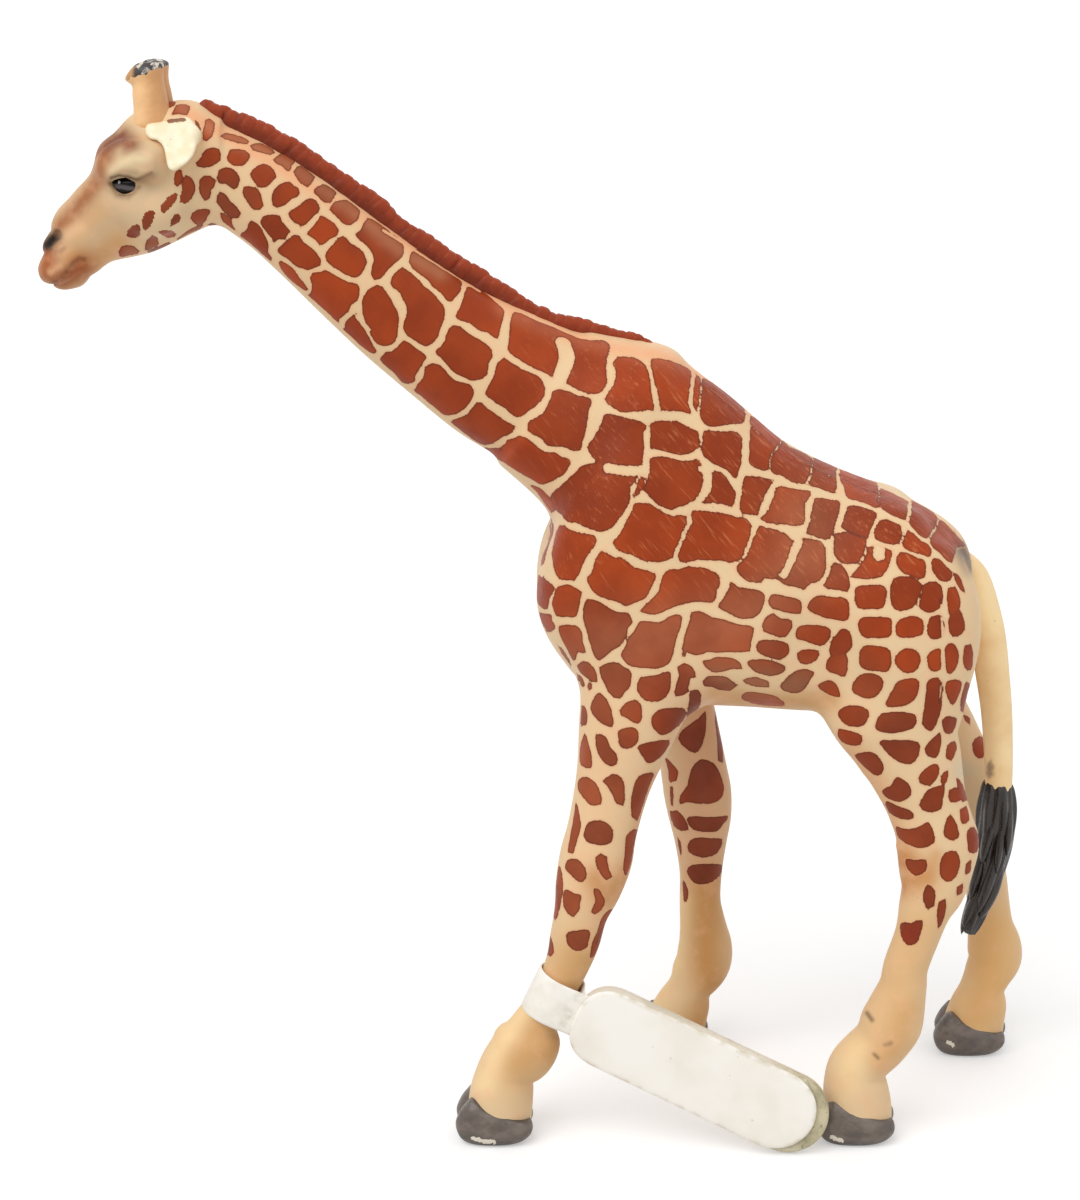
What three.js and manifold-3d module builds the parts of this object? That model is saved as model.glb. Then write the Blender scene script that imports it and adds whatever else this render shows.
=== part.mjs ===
// A toy giraffe figure in mid-stride, moulded as separate pieces that plug into one another,
// with a hang tag looped loosely round the left foreleg.
// Millimetres, +Z up. The nose points to -X, so the animal's left side faces -Y.

import * as THREE from 'three';
import * as BufferGeometryUtils from 'three/addons/utils/BufferGeometryUtils.js';
import Module from 'manifold-3d';

const wasm = await Module();
wasm.setup();

// Body and neck
const seamHeight = 64;
const trunkLength = 67.7;
const trunkHeight = 57;
const trunkWidth = 37.4;
const neckLength = 68.8;
const napeDepth = 15.5;
const napeWidth = 11;
const neckPitch = 33.9;

// Head, ears and horns
const headLength = 27.2;
const headHeight = 20.6;
const headWidth = 14.4;
const eyeBulge = 2.7;
const earLength = 9.8;
const earWidth = 7.4;
const earThickness = 1.8;
const hornLength = 6.6;
const hornWidth = 4.4;
const hornSpacing = 5.6;

// Legs, from the seam down to the hooves
const legSpread = 24.4;
const stance = 32;
const foreDepth = 14.2;
const hindDepth = 16.4;
const legWidth = 12.5;
const hoofLength = 12.3;
const hoofWidth = 9.9;
const hoofHeight = 8;
const cleftWidth = 0.9;

// Mane and tail
const maneHeight = 2.4;
const maneWidth = 3;
const maneRoot = 1.2;
const maneTeeth = 32;
const tailDrop = 36;
const tailDepth = 5.8;
const tuftDrop = 26.2;
const tuftDepth = 6.1;

// Tag
const tagReach = 39.8;
const tagWidth = 12.8;
const tagYaw = 6;
const strapWidth = 7.2;
const stripThickness = 0.45;
const backingThickness = 2.1;
const tagFloorGap = 0.2;

// Fits
const jointGap = 0.3;
const bandClearance = 0.4;
const overrun = 1;
const neckPlugRadius = 6.5;
const neckPlugLength = 9;
const headPlugRadius = 3.2;
const headPlugLength = 6;
const legPlugRadius = 3;
const legPlugLength = 8;
const hoofPlugRadius = 2.2;
const hoofPlugLength = 3.6;
const smallPlugLength = 3;

// Sides of the round sections
const trunkSides = 24;
const limbSides = 16;
const tailSides = 12;
const plugSides = 14;

const UP = new THREE.Vector3(0, 0, 1);
const SIDE = new THREE.Vector3(0, 1, 0);

// Solids

function solid(geometry) {
  const bare = geometry.clone();
  bare.deleteAttribute('normal');
  bare.deleteAttribute('uv');
  const merged = BufferGeometryUtils.mergeVertices(bare);
  return new wasm.Manifold(new wasm.Mesh({
    numProp: 3,
    vertProperties: new Float32Array(merged.attributes.position.array),
    triVerts: new Uint32Array(merged.index.array),
  }));
}

function geometryOf(body) {
  const { vertProperties, triVerts } = body.getMesh();
  const geometry = new THREE.BufferGeometry();
  geometry.setAttribute('position', new THREE.BufferAttribute(vertProperties, 3));
  geometry.setIndex(new THREE.BufferAttribute(triVerts, 1));
  geometry.computeVertexNormals();
  return geometry;
}

function signedVolume(points, faces) {
  let volume = 0;
  for (const [a, b, c] of faces) {
    volume += points[a].dot(new THREE.Vector3().crossVectors(points[b], points[c])) / 6;
  }
  return volume;
}

// A body skinned over rings of points, with a flat end on the first and last ring.
function loft(rings) {
  const count = rings[0].length;
  const points = rings.flat();
  const faces = [];
  for (let row = 0; row + 1 < rings.length; row += 1) {
    for (let i = 0; i < count; i += 1) {
      const next = (i + 1) % count;
      const a = row * count;
      const b = a + count;
      faces.push([a + i, a + next, b + next], [a + i, b + next, b + i]);
    }
  }
  const last = (rings.length - 1) * count;
  for (let i = 1; i + 1 < count; i += 1) {
    faces.push([0, i + 1, i], [last, last + i, last + i + 1]);
  }
  if (signedVolume(points, faces) < 0) {
    faces.forEach((face) => face.reverse());
  }
  const geometry = new THREE.BufferGeometry().setFromPoints(points);
  geometry.setIndex(faces.flat());
  return solid(geometry);
}

// One ring round a section that runs from its low point to its high point. Sag moves the widest
// place towards the low point, and box makes the section squarer as it falls below 1.
function ring(low, high, width, sides, { sag = 0, box = 1, grow = 0 } = {}) {
  const centre = low.clone().add(high).multiplyScalar(0.5);
  const axis = high.clone().sub(low);
  const reach = axis.length() / 2 + grow;
  axis.normalize();
  const points = [];
  for (let i = 0; i < sides; i += 1) {
    const turn = (2 * Math.PI * i) / sides;
    const up = Math.sign(Math.cos(turn)) * Math.abs(Math.cos(turn)) ** box;
    const out = Math.sign(Math.sin(turn)) * Math.abs(Math.sin(turn)) ** box;
    const along = up - sag * (1 - up * up);
    const point = centre.clone().addScaledVector(axis, along * reach);
    points.push(point.addScaledVector(SIDE, out * (width / 2 + grow)));
  }
  return points;
}

// A plain round plug that starts behind a seam and runs along a direction.
function plug(from, direction, length, radius, behind) {
  const heading = direction.clone().normalize();
  const geometry = new THREE.CylinderGeometry(radius, radius, length + behind, plugSides);
  geometry.translate(0, (length - behind) / 2, 0);
  geometry.applyQuaternion(new THREE.Quaternion().setFromUnitVectors(SIDE, heading));
  geometry.translate(from.x, from.y, from.z);
  return solid(geometry);
}

function socket(from, direction, length, radius) {
  return plug(from, direction, length + jointGap, radius + jointGap, overrun);
}

function block(x, y, z, centre) {
  const geometry = new THREE.BoxGeometry(x, y, z);
  geometry.translate(centre.x, centre.y, centre.z);
  return solid(geometry);
}

// Trunk. Each row is a section from a low point to a high point: low x, low z, high x, high z
// as shares of the trunk's length and height, then its width as a share of the trunk's width.

const trunkShares = [
  [0.027, 0.565, 0.287, 0.994, 0.67],
  [0.007, 0.430, 0.331, 0.966, 0.76],
  [0.003, 0.316, 0.375, 0.928, 0.84],
  [0.035, 0.219, 0.427, 0.877, 0.91],
  [0.089, 0.118, 0.486, 0.818, 0.96],
  [0.183, 0.046, 0.552, 0.753, 0.99],
  [0.316, 0.032, 0.626, 0.704, 1.00],
  [0.464, 0.026, 0.700, 0.665, 1.00],
  [0.611, 0.014, 0.781, 0.625, 0.99],
  [0.744, 0.026, 0.863, 0.570, 0.95],
  [0.848, 0.053, 0.922, 0.516, 0.86],
  [0.925, 0.105, 0.955, 0.465, 0.68],
  [0.965, 0.193, 0.968, 0.404, 0.46],
  [0.980, 0.254, 0.978, 0.351, 0.24],
];
const trunkSagShare = 0.16;
const trunkBoxShare = 0.92;

function trunkPoint(lengthShare, heightShare) {
  return new THREE.Vector3(lengthShare * trunkLength, 0, seamHeight + heightShare * trunkHeight);
}

const withers = trunkPoint(trunkShares[0][2], trunkShares[0][3]);
const throat = trunkPoint(trunkShares[0][0], trunkShares[0][1]);
const neckRoot = withers.clone().add(throat).multiplyScalar(0.5);
const neckRootDepth = withers.distanceTo(throat);
const neckRootWidth = trunkShares[0][4] * trunkWidth;
const neckRootAngle = Math.atan2(withers.z - throat.z, withers.x - throat.x);
const pitch = THREE.MathUtils.degToRad(neckPitch);
const neckHeading = new THREE.Vector3(-Math.cos(pitch), 0, Math.sin(pitch));
const neckAcross = new THREE.Vector3(Math.sin(pitch), 0, Math.cos(pitch));
const rootNormal = new THREE.Vector3(-Math.sin(neckRootAngle), 0, Math.cos(neckRootAngle));

function trunkBody() {
  const rings = trunkShares.map(([lowX, lowZ, highX, highZ, width], row) => {
    const low = trunkPoint(lowX, lowZ);
    const high = trunkPoint(highX, highZ);
    if (row === 0) {
      low.addScaledVector(rootNormal, -jointGap);
      high.addScaledVector(rootNormal, -jointGap);
    }
    const shape = row === 0 ? {} : { sag: trunkSagShare, box: trunkBoxShare };
    return ring(low, high, width * trunkWidth, trunkSides, shape);
  });
  return loft(rings);
}

// Legs. Each row is a section: height and forward place as shares of the seam height, depth as
// a share of the leg's depth at the seam, the way out from the leg's root to the stance, and
// width as a share of the leg's width. Rows above 1 are the shoulder or haunch in the torso.

const leftForelegShares = [
  [1.375, 0.039, 1.05, -0.71, 0.81],
  [1.250, 0.036, 1.33, -0.32, 1.03],
  [1.125, 0.025, 1.19, -0.11, 1.06],
  [1.000, 0.000, 1.00, 0.00, 1.00],
  [0.891, -0.025, 0.80, 0.13, 0.87],
  [0.781, -0.052, 0.71, 0.29, 0.79],
  [0.703, -0.073, 0.73, 0.42, 0.76],
  [0.630, -0.092, 0.65, 0.50, 0.71],
  [0.566, -0.109, 0.51, 0.58, 0.61],
  [0.500, -0.123, 0.48, 0.66, 0.56],
  [0.442, -0.140, 0.44, 0.74, 0.50],
  [0.362, -0.175, 0.43, 0.79, 0.49],
  [0.297, -0.206, 0.45, 0.84, 0.51],
  [0.245, -0.225, 0.67, 0.89, 0.66],
  [0.192, -0.263, 0.66, 0.95, 0.71],
  [0.130, -0.298, 0.70, 1.00, 0.74],
];
const rightForelegShares = [
  [1.375, -0.052, 1.05, -0.71, 0.81],
  [1.250, -0.036, 1.33, -0.32, 1.03],
  [1.125, -0.019, 1.19, -0.11, 1.06],
  [1.000, 0.000, 0.98, 0.00, 1.00],
  [0.933, 0.033, 0.82, 0.08, 0.90],
  [0.853, 0.061, 0.72, 0.18, 0.84],
  [0.773, 0.077, 0.72, 0.29, 0.79],
  [0.719, 0.087, 0.74, 0.37, 0.76],
  [0.652, 0.094, 0.69, 0.47, 0.71],
  [0.583, 0.096, 0.57, 0.55, 0.61],
  [0.502, 0.102, 0.47, 0.63, 0.55],
  [0.419, 0.100, 0.47, 0.71, 0.53],
  [0.344, 0.106, 0.53, 0.79, 0.58],
  [0.294, 0.110, 0.62, 0.84, 0.65],
  [0.247, 0.103, 0.65, 0.89, 0.68],
  [0.195, 0.073, 0.63, 0.95, 0.69],
  [0.130, 0.044, 0.69, 1.00, 0.74],
];
const leftHindLegShares = [
  [1.438, -0.012, 0.85, -0.97, 0.71],
  [1.312, -0.012, 1.22, -0.45, 0.95],
  [1.203, -0.012, 1.31, -0.18, 1.08],
  [1.094, -0.012, 1.25, -0.05, 1.08],
  [1.000, 0.000, 1.04, 0.03, 1.00],
  [0.938, 0.027, 0.89, 0.11, 0.92],
  [0.880, 0.048, 0.79, 0.18, 0.84],
  [0.831, 0.064, 0.74, 0.24, 0.79],
  [0.781, 0.081, 0.74, 0.32, 0.78],
  [0.739, 0.091, 0.77, 0.37, 0.75],
  [0.688, 0.089, 0.70, 0.42, 0.71],
  [0.630, 0.083, 0.61, 0.50, 0.67],
  [0.578, 0.066, 0.50, 0.55, 0.60],
  [0.516, 0.048, 0.44, 0.63, 0.56],
  [0.438, 0.025, 0.44, 0.71, 0.54],
  [0.386, 0.016, 0.48, 0.76, 0.57],
  [0.334, -0.001, 0.58, 0.82, 0.63],
  [0.289, -0.012, 0.64, 0.87, 0.68],
  [0.242, -0.025, 0.58, 0.92, 0.68],
  [0.195, -0.061, 0.55, 0.95, 0.70],
  [0.130, -0.086, 0.57, 1.00, 0.73],
];
const rightHindLegShares = [
  [1.438, -0.081, 0.85, -0.97, 0.73],
  [1.312, -0.073, 1.22, -0.45, 0.97],
  [1.203, -0.058, 1.31, -0.18, 1.10],
  [1.094, -0.034, 1.16, -0.05, 1.10],
  [1.000, 0.000, 0.95, 0.03, 1.00],
  [0.938, 0.036, 0.85, 0.11, 0.94],
  [0.875, 0.077, 0.79, 0.18, 0.85],
  [0.828, 0.103, 0.77, 0.24, 0.81],
  [0.781, 0.134, 0.76, 0.32, 0.79],
  [0.727, 0.161, 0.75, 0.37, 0.76],
  [0.672, 0.170, 0.70, 0.42, 0.71],
  [0.625, 0.180, 0.63, 0.50, 0.68],
  [0.547, 0.198, 0.50, 0.61, 0.60],
  [0.473, 0.220, 0.43, 0.68, 0.55],
  [0.405, 0.231, 0.43, 0.76, 0.55],
  [0.350, 0.239, 0.46, 0.82, 0.60],
  [0.297, 0.253, 0.54, 0.87, 0.66],
  [0.255, 0.256, 0.56, 0.92, 0.68],
  [0.203, 0.236, 0.51, 0.95, 0.69],
  [0.130, 0.211, 0.59, 1.00, 0.74],
];

const legs = [
  { name: 'left_foreleg', hoof: 'left_front_hoof', hand: -1, rootShare: 0.205,
    depth: foreDepth, shares: leftForelegShares, hoofShare: -0.317 },
  { name: 'right_foreleg', hoof: 'right_front_hoof', hand: 1, rootShare: 0.313,
    depth: foreDepth, shares: rightForelegShares, hoofShare: 0.027 },
  { name: 'left_hind_leg', hoof: 'left_hind_hoof', hand: -1, rootShare: 0.815,
    depth: hindDepth, shares: leftHindLegShares, hoofShare: -0.085 },
  { name: 'right_hind_leg', hoof: 'right_hind_hoof', hand: 1, rootShare: 0.888,
    depth: hindDepth, shares: rightHindLegShares, hoofShare: 0.200 },
];

// The lowest row of a leg stands on its hoof, and the row at 1 lies on the seam under the torso.
function legCentre(leg, [height, forward, , out]) {
  const spread = legSpread / 2 + (out * (stance - legSpread)) / 2;
  const x = leg.rootShare * trunkLength + forward * seamHeight;
  return new THREE.Vector3(x, leg.hand * spread, height * seamHeight);
}

function legCentres(leg) {
  const centres = leg.shares.map((row) => legCentre(leg, row));
  centres[centres.length - 1].z = hoofHeight + jointGap;
  return centres;
}

function seamRow(leg) {
  const seamShare = 1;
  return leg.shares.findIndex(([height]) => height === seamShare);
}

// The fore-and-aft axis of a row is square to the leg's own line, and level at the flat ends.
function legRing(leg, centres, row) {
  const level = row === 0 || row === seamRow(leg) || row === centres.length - 1;
  const line = UP.clone();
  if (!level) {
    line.subVectors(centres[row - 1], centres[row + 1]).setY(0).normalize();
  }
  const back = new THREE.Vector3(line.z, 0, -line.x);
  const [, , depth, , width] = leg.shares[row];
  const half = (depth * leg.depth) / 2;
  const low = centres[row].clone().addScaledVector(back, -half);
  const high = centres[row].clone().addScaledVector(back, half);
  return ring(low, high, width * legWidth, limbSides);
}

function legPieces(leg) {
  const centres = legCentres(leg);
  const rings = centres.map((centre, row) => legRing(leg, centres, row));
  const seam = seamRow(leg);
  const above = rings.slice(0, seam);
  const below = rings.slice(seam);
  const seamCentre = centres[seam];
  const ankle = centres[centres.length - 1];
  const lowered = below.shift().map((point) => point.clone().addScaledVector(UP, -jointGap));
  const topPlug = plug(seamCentre, UP, legPlugLength, legPlugRadius, overrun + jointGap);
  const anklePlug = plug(ankle, UP.clone().negate(), hoofPlugLength, hoofPlugRadius, overrun);
  return {
    spec: leg,
    haunch: loft([...above, rings[seam]]),
    hole: socket(seamCentre, UP, legPlugLength, legPlugRadius),
    shank: loft([lowered, ...below]).add(topPlug).add(anklePlug),
    ankle,
  };
}

// Hooves. Each row is a level of the hoof: height, length and width as shares of its own sizes.

const hoofShares = [
  [0, 0.86, 0.90],
  [0.22, 0.97, 0.98],
  [0.65, 1.00, 1.00],
  [0.90, 0.97, 0.97],
  [1, 0.90, 0.90],
];
const hoofBoxShare = 0.86;
const cleftShare = 0.36;

function hoofCentre(leg) {
  const x = leg.rootShare * trunkLength + leg.hoofShare * seamHeight;
  return new THREE.Vector3(x, (leg.hand * stance) / 2, 0);
}

function hoofBody(leg, ankle) {
  const centre = hoofCentre(leg);
  const rings = hoofShares.map(([height, length, width]) => {
    const level = centre.clone().addScaledVector(UP, height * hoofHeight);
    const toe = level.clone().setX(level.x - (length * hoofLength) / 2);
    const heel = level.clone().setX(level.x + (length * hoofLength) / 2);
    return ring(toe, heel, width * hoofWidth, limbSides, { box: hoofBoxShare });
  });
  const cleftLength = cleftShare * hoofLength;
  const front = centre.x - hoofLength / 2 + (cleftLength - overrun) / 2;
  const middle = new THREE.Vector3(front, centre.y, hoofHeight / 2);
  const cleft = block(cleftLength + overrun, cleftWidth, hoofHeight + 2 * overrun, middle);
  const down = UP.clone().negate();
  return loft(rings).subtract(cleft).subtract(socket(ankle, down, hoofPlugLength, hoofPlugRadius));
}

// Neck. Each row is a section: its way along the neck, its bow off the straight line, how much
// of the extra depth and width at the root it keeps, and how far its slant has turned.

const neckShares = [
  [0, 0, 1, 1, 0],
  [0.145, -0.014, 0.566, 0.586, 0.01],
  [0.283, -0.028, 0.386, 0.40, 0.12],
  [0.415, -0.031, 0.234, 0.27, 0.13],
  [0.547, -0.023, 0.172, 0.17, 0.22],
  [0.674, -0.010, 0.110, 0.10, 0.33],
  [0.797, 0.004, 0.041, 0.04, 0.44],
  [0.907, 0.009, 0.007, 0, 0.68],
  [1, 0, 0, 0, 1],
];
const napeAngle = THREE.MathUtils.degToRad(93);
const nape = neckRoot.clone().addScaledVector(neckHeading, neckLength);
const napeAxis = new THREE.Vector3(Math.cos(napeAngle), 0, Math.sin(napeAngle));
const napeNormal = new THREE.Vector3(-Math.sin(napeAngle), 0, Math.cos(napeAngle));

function neckSection([along, bow, depth, width, slant]) {
  const angle = neckRootAngle + slant * (napeAngle - neckRootAngle);
  const axis = new THREE.Vector3(Math.cos(angle), 0, Math.sin(angle));
  const half = (napeDepth + depth * (neckRootDepth - napeDepth)) / 2;
  const centre = neckRoot.clone()
    .addScaledVector(neckHeading, along * neckLength)
    .addScaledVector(neckAcross, bow * neckLength);
  return {
    low: centre.clone().addScaledVector(axis, -half),
    high: centre.clone().addScaledVector(axis, half),
    width: napeWidth + width * (neckRootWidth - napeWidth),
  };
}

const neckSections = neckShares.map(neckSection);

function neckBody() {
  const rings = neckSections.map(({ low, high, width }) => ring(low, high, width, trunkSides));
  const rootPlug = plug(neckRoot, rootNormal.clone().negate(), neckPlugLength, neckPlugRadius,
    neckPlugLength);
  const headPlug = plug(nape, napeNormal, headPlugLength, headPlugRadius, headPlugLength);
  return loft(rings).add(rootPlug).add(headPlug);
}

// Head. Each row is a section from a low point to a high point, forward and up from the nape as
// shares of the head's length and height, then its width as a share of the head's width.

const headShares = [
  [0.092, -0.367, 0.114, 0.507, 0.875],
  [0.224, -0.444, 0.243, 0.512, 0.97],
  [0.371, -0.532, 0.426, 0.468, 1],
  [0.500, -0.575, 0.548, 0.323, 0.95],
  [0.621, -0.614, 0.673, 0.061, 0.79],
  [0.721, -0.687, 0.783, -0.143, 0.64],
  [0.812, -0.769, 0.893, -0.313, 0.56],
  [0.897, -0.799, 0.974, -0.473, 0.53],
  [0.967, -0.789, 1, -0.624, 0.42],
];

function headPoint(forwardShare, upShare, y) {
  const x = nape.x - forwardShare * headLength;
  return new THREE.Vector3(x, y, nape.z + upShare * headHeight);
}

function eyeBody(hand) {
  const geometry = new THREE.SphereGeometry(eyeBulge, tailSides, tailSides / 2);
  const flatShare = 0.8;
  geometry.scale(1, flatShare, flatShare);
  const eyePlaceShares = [0.535, -0.07];
  const place = headPoint(...eyePlaceShares, hand * (headWidth / 2 - eyeBulge * flatShare));
  geometry.translate(place.x, place.y, place.z);
  return solid(geometry);
}

function headSkull() {
  const end = neckSections[neckSections.length - 1];
  const low = end.low.clone().addScaledVector(napeNormal, jointGap);
  const high = end.high.clone().addScaledVector(napeNormal, jointGap);
  const rings = headShares.map(([lowX, lowZ, highX, highZ, width]) => ring(
    headPoint(lowX, lowZ, 0), headPoint(highX, highZ, 0), width * headWidth, trunkSides));
  return loft([ring(low, high, end.width, trunkSides), ...rings])
    .add(eyeBody(-1))
    .add(eyeBody(1))
    .subtract(socket(nape, napeNormal, headPlugLength, headPlugRadius));
}

// Ears. Each row is a section: its way out along the ear and its width and thickness as shares.
// The first two rows are the plug in the head.

const earShares = [
  [0, 0.30, 0.80],
  [0.20, 0.38, 0.90],
  [0.34, 0.92, 1],
  [0.50, 1, 0.85],
  [0.72, 0.78, 0.65],
  [0.90, 0.44, 0.50],
  [1, 0.18, 0.35],
];
const earPlaceShares = [0.22, 0.36];
const earForwardShare = 0.12;
const earDroopShare = 0.72;

function earRings(hand, rows, grow) {
  const heading = new THREE.Vector3(-earForwardShare, hand, -earDroopShare).normalize();
  const face = new THREE.Vector3(1, 0, 0).cross(heading).normalize();
  const across = new THREE.Vector3().crossVectors(heading, face);
  const [forward, up] = earPlaceShares;
  const root = headPoint(forward, up, hand * (headWidth / 2 - smallPlugLength));
  return rows.map(([along, width, thickness], row) => {
    const deeper = row === 0 ? grow : 0;
    const centre = root.clone().addScaledVector(heading, along * earLength - deeper);
    const points = [];
    for (let i = 0; i < tailSides; i += 1) {
      const turn = (2 * Math.PI * i) / tailSides;
      const wide = Math.cos(turn) * ((width * earWidth) / 2 + grow);
      const thick = Math.sin(turn) * ((thickness * earThickness) / 2 + grow);
      points.push(centre.clone().addScaledVector(across, wide).addScaledVector(face, thick));
    }
    return points;
  });
}

// Horns. Each row is a level: its height and width as shares, and its lean forward.

const hornShares = [
  [0, 0.80, 0],
  [0.30, 1.02, 0],
  [0.62, 1.02, 0.05],
  [0.84, 1.22, 0.10],
  [0.94, 1.20, 0.11],
  [1, 0.86, 0.09],
];
const hornPlaceShare = 0.36;
const hornSlantShare = 0.10;

function hornRings(hand, rows, grow) {
  const height = smallPlugLength + hornLength;
  const crown = headPoint(hornPlaceShare, headShares[2][3], (hand * hornSpacing) / 2);
  return rows.map(([level, width, lean], row) => {
    const deeper = row === 0 ? grow : 0;
    const centre = crown.clone().addScaledVector(UP, level * height - smallPlugLength - deeper);
    centre.x -= lean * hornLength;
    const half = (width * hornWidth) / 2;
    const slant = level * hornSlantShare * hornWidth;
    const low = centre.clone().add(new THREE.Vector3(-half, 0, -slant));
    const high = centre.clone().add(new THREE.Vector3(half, 0, slant));
    return ring(low, high, width * hornWidth, tailSides, { grow });
  });
}

// Mane. It follows the top of the neck from the crown to just before the withers.

const maneRiseShares = [0.05, 0.9, 1, 1, 1, 1, 0.95, 0.9, 0.8];
const toothShare = 0.72;

function manePath() {
  const crown = headPoint(headShares[0][2], headShares[0][3], 0);
  const tops = neckSections.map(({ high }) => high.clone()).reverse();
  const end = tops.pop();
  const last = tops[tops.length - 1];
  const whole = end.distanceTo(last);
  tops.push(last.clone().lerp(end, (whole - overrun) / whole));
  return new THREE.CatmullRomCurve3([crown, ...tops]);
}

function maneOutline(depth, rise) {
  const path = manePath();
  const steps = 2 * maneTeeth;
  const top = [];
  const bottom = [];
  for (let i = 0; i <= steps; i += 1) {
    const point = path.getPointAt(i / steps);
    const line = path.getTangentAt(i / steps);
    const normal = new THREE.Vector3(-line.z, 0, line.x);
    const above = point.clone().addScaledVector(normal, rise(i, i / steps));
    const below = point.clone().addScaledVector(normal, -depth);
    top.push(new THREE.Vector2(above.x, above.z));
    bottom.unshift(new THREE.Vector2(below.x, below.z));
  }
  return new THREE.Shape([...top, ...bottom]);
}

function maneSlab(depth, rise, width) {
  const geometry = new THREE.ExtrudeGeometry(maneOutline(depth, rise), {
    depth: width, bevelEnabled: false,
  });
  geometry.rotateX(Math.PI / 2);
  geometry.translate(0, width / 2, 0);
  return solid(geometry);
}

function maneBody() {
  return maneSlab(maneRoot, (i, way) => {
    const place = way * (maneRiseShares.length - 1);
    const from = Math.min(Math.floor(place), maneRiseShares.length - 2);
    const share = THREE.MathUtils.lerp(maneRiseShares[from], maneRiseShares[from + 1],
      place - from);
    return maneHeight * share * (i % 2 === 0 ? toothShare : 1);
  }, maneWidth);
}

function maneGroove() {
  return maneSlab(maneRoot + jointGap, () => overrun, maneWidth + 2 * jointGap);
}

// Tail. Each row is a section: its way back and down as shares of the tail's drop and its depth.
// The first two rows are the plug in the rump.

const tailShares = [
  [-0.085, -0.035, 0.82],
  [0.000, 0.000, 0.94],
  [0.055, 0.10, 1],
  [0.085, 0.23, 1],
  [0.125, 0.38, 0.95],
  [0.155, 0.58, 0.86],
  [0.182, 0.85, 0.76],
  [0.190, 1, 0.72],
];
const tuftShares = [
  [0.000, 0.00, 0.82],
  [0.020, 0.14, 0.95],
  [0.020, 0.28, 1.05],
  [-0.005, 0.46, 1.02],
  [-0.030, 0.64, 0.96],
  [-0.085, 0.83, 0.66],
  [-0.130, 1, 0.22],
];
const tailRootShares = [0.972, 0.430];
const tailRoot = trunkPoint(...tailRootShares);
const tuftStrandShare = 0.84;
const tailPlugShare = 0.45;

function tailCentre([back, down]) {
  return new THREE.Vector3(tailRoot.x + back * tailDrop, 0, tailRoot.z - down * tailDrop);
}

function tailRings(rows, grow) {
  const centres = rows.map(tailCentre);
  return rows.map(([, , depth], row) => {
    const before = centres[Math.max(row - 1, 0)];
    const after = centres[Math.min(row + 1, rows.length - 1)];
    const line = after.clone().sub(before).normalize();
    const across = new THREE.Vector3(-line.z, 0, line.x);
    const half = (depth * tailDepth) / 2;
    const deeper = row === 0 ? -grow : 0;
    const centre = centres[row].clone().addScaledVector(line, deeper);
    const low = centre.clone().addScaledVector(across, -half);
    const high = centre.clone().addScaledVector(across, half);
    return ring(low, high, depth * tailDepth, tailSides, { grow });
  });
}

function tailEnd() {
  return tailCentre(tailShares[tailShares.length - 1]);
}

function tailBody() {
  const down = UP.clone().negate();
  const radius = (tailPlugShare * tailDepth * tailShares[tailShares.length - 1][2]) / 2;
  return loft(tailRings(tailShares, 0)).add(plug(tailEnd(), down, smallPlugLength, radius, overrun));
}

// Every other point of a tuft section is drawn in, so the strands stand out as ridges.
function tuftBody() {
  const start = tailEnd().addScaledVector(UP, -jointGap);
  const rings = tuftShares.map(([back, down, depth]) => {
    const centre = new THREE.Vector3(start.x + back * tuftDrop, 0, start.z - down * tuftDrop);
    const points = [];
    for (let i = 0; i < 2 * tailSides; i += 1) {
      const turn = (Math.PI * i) / tailSides;
      const radius = ((depth * tuftDepth) / 2) * (i % 2 === 0 ? 1 : tuftStrandShare);
      const offset = new THREE.Vector3(Math.cos(turn), Math.sin(turn), 0);
      points.push(centre.clone().addScaledVector(offset, radius));
    }
    return points;
  });
  const radius = (tailPlugShare * tailDepth * tailShares[tailShares.length - 1][2]) / 2;
  const down = UP.clone().negate();
  return loft(rings).subtract(socket(tailEnd(), down, smallPlugLength, radius));
}

// Tag. Its frame stands in the middle of the band: Z runs up the shin, X out along the tag.

const bandRow = 11;
const bandLeg = legs[0];
const bandCentre = legCentres(bandLeg)[bandRow];
const shinRadius = Math.max(
  bandLeg.shares[bandRow][2] * bandLeg.depth, bandLeg.shares[bandRow][4] * legWidth) / 2;
const bandInner = shinRadius + bandClearance;
const bandOuter = bandInner + stripThickness;
const yaw = THREE.MathUtils.degToRad(tagYaw);
const tagDrop = bandCentre.z - tagWidth / 2 - tagFloorGap;
const tagTilt = Math.asin(tagDrop / (tagReach * Math.cos(yaw)));
const tagRootShare = 0.36;
const bandSides = 32;
const tagArcPoints = 10;

// The tag's outline: a rounder far end, and a blunter end beside the leg.
function tagOutline(start, tuck) {
  const half = tagWidth / 2 - tuck;
  const rootLength = tagRootShare * tagWidth;
  const shape = new THREE.Shape();
  shape.absarc(tagReach, 0, half, -Math.PI / 2, Math.PI / 2, false);
  shape.absellipse(start + rootLength, 0, rootLength, half, Math.PI / 2, 1.5 * Math.PI, false, 0);
  shape.closePath();
  return shape;
}

function tagSheet(shape, thickness, inner) {
  const geometry = new THREE.ExtrudeGeometry(shape, {
    depth: thickness, bevelEnabled: false, curveSegments: tagArcPoints,
  });
  geometry.rotateX(Math.PI / 2);
  geometry.translate(0, -inner, 0);
  return solid(geometry);
}

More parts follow.
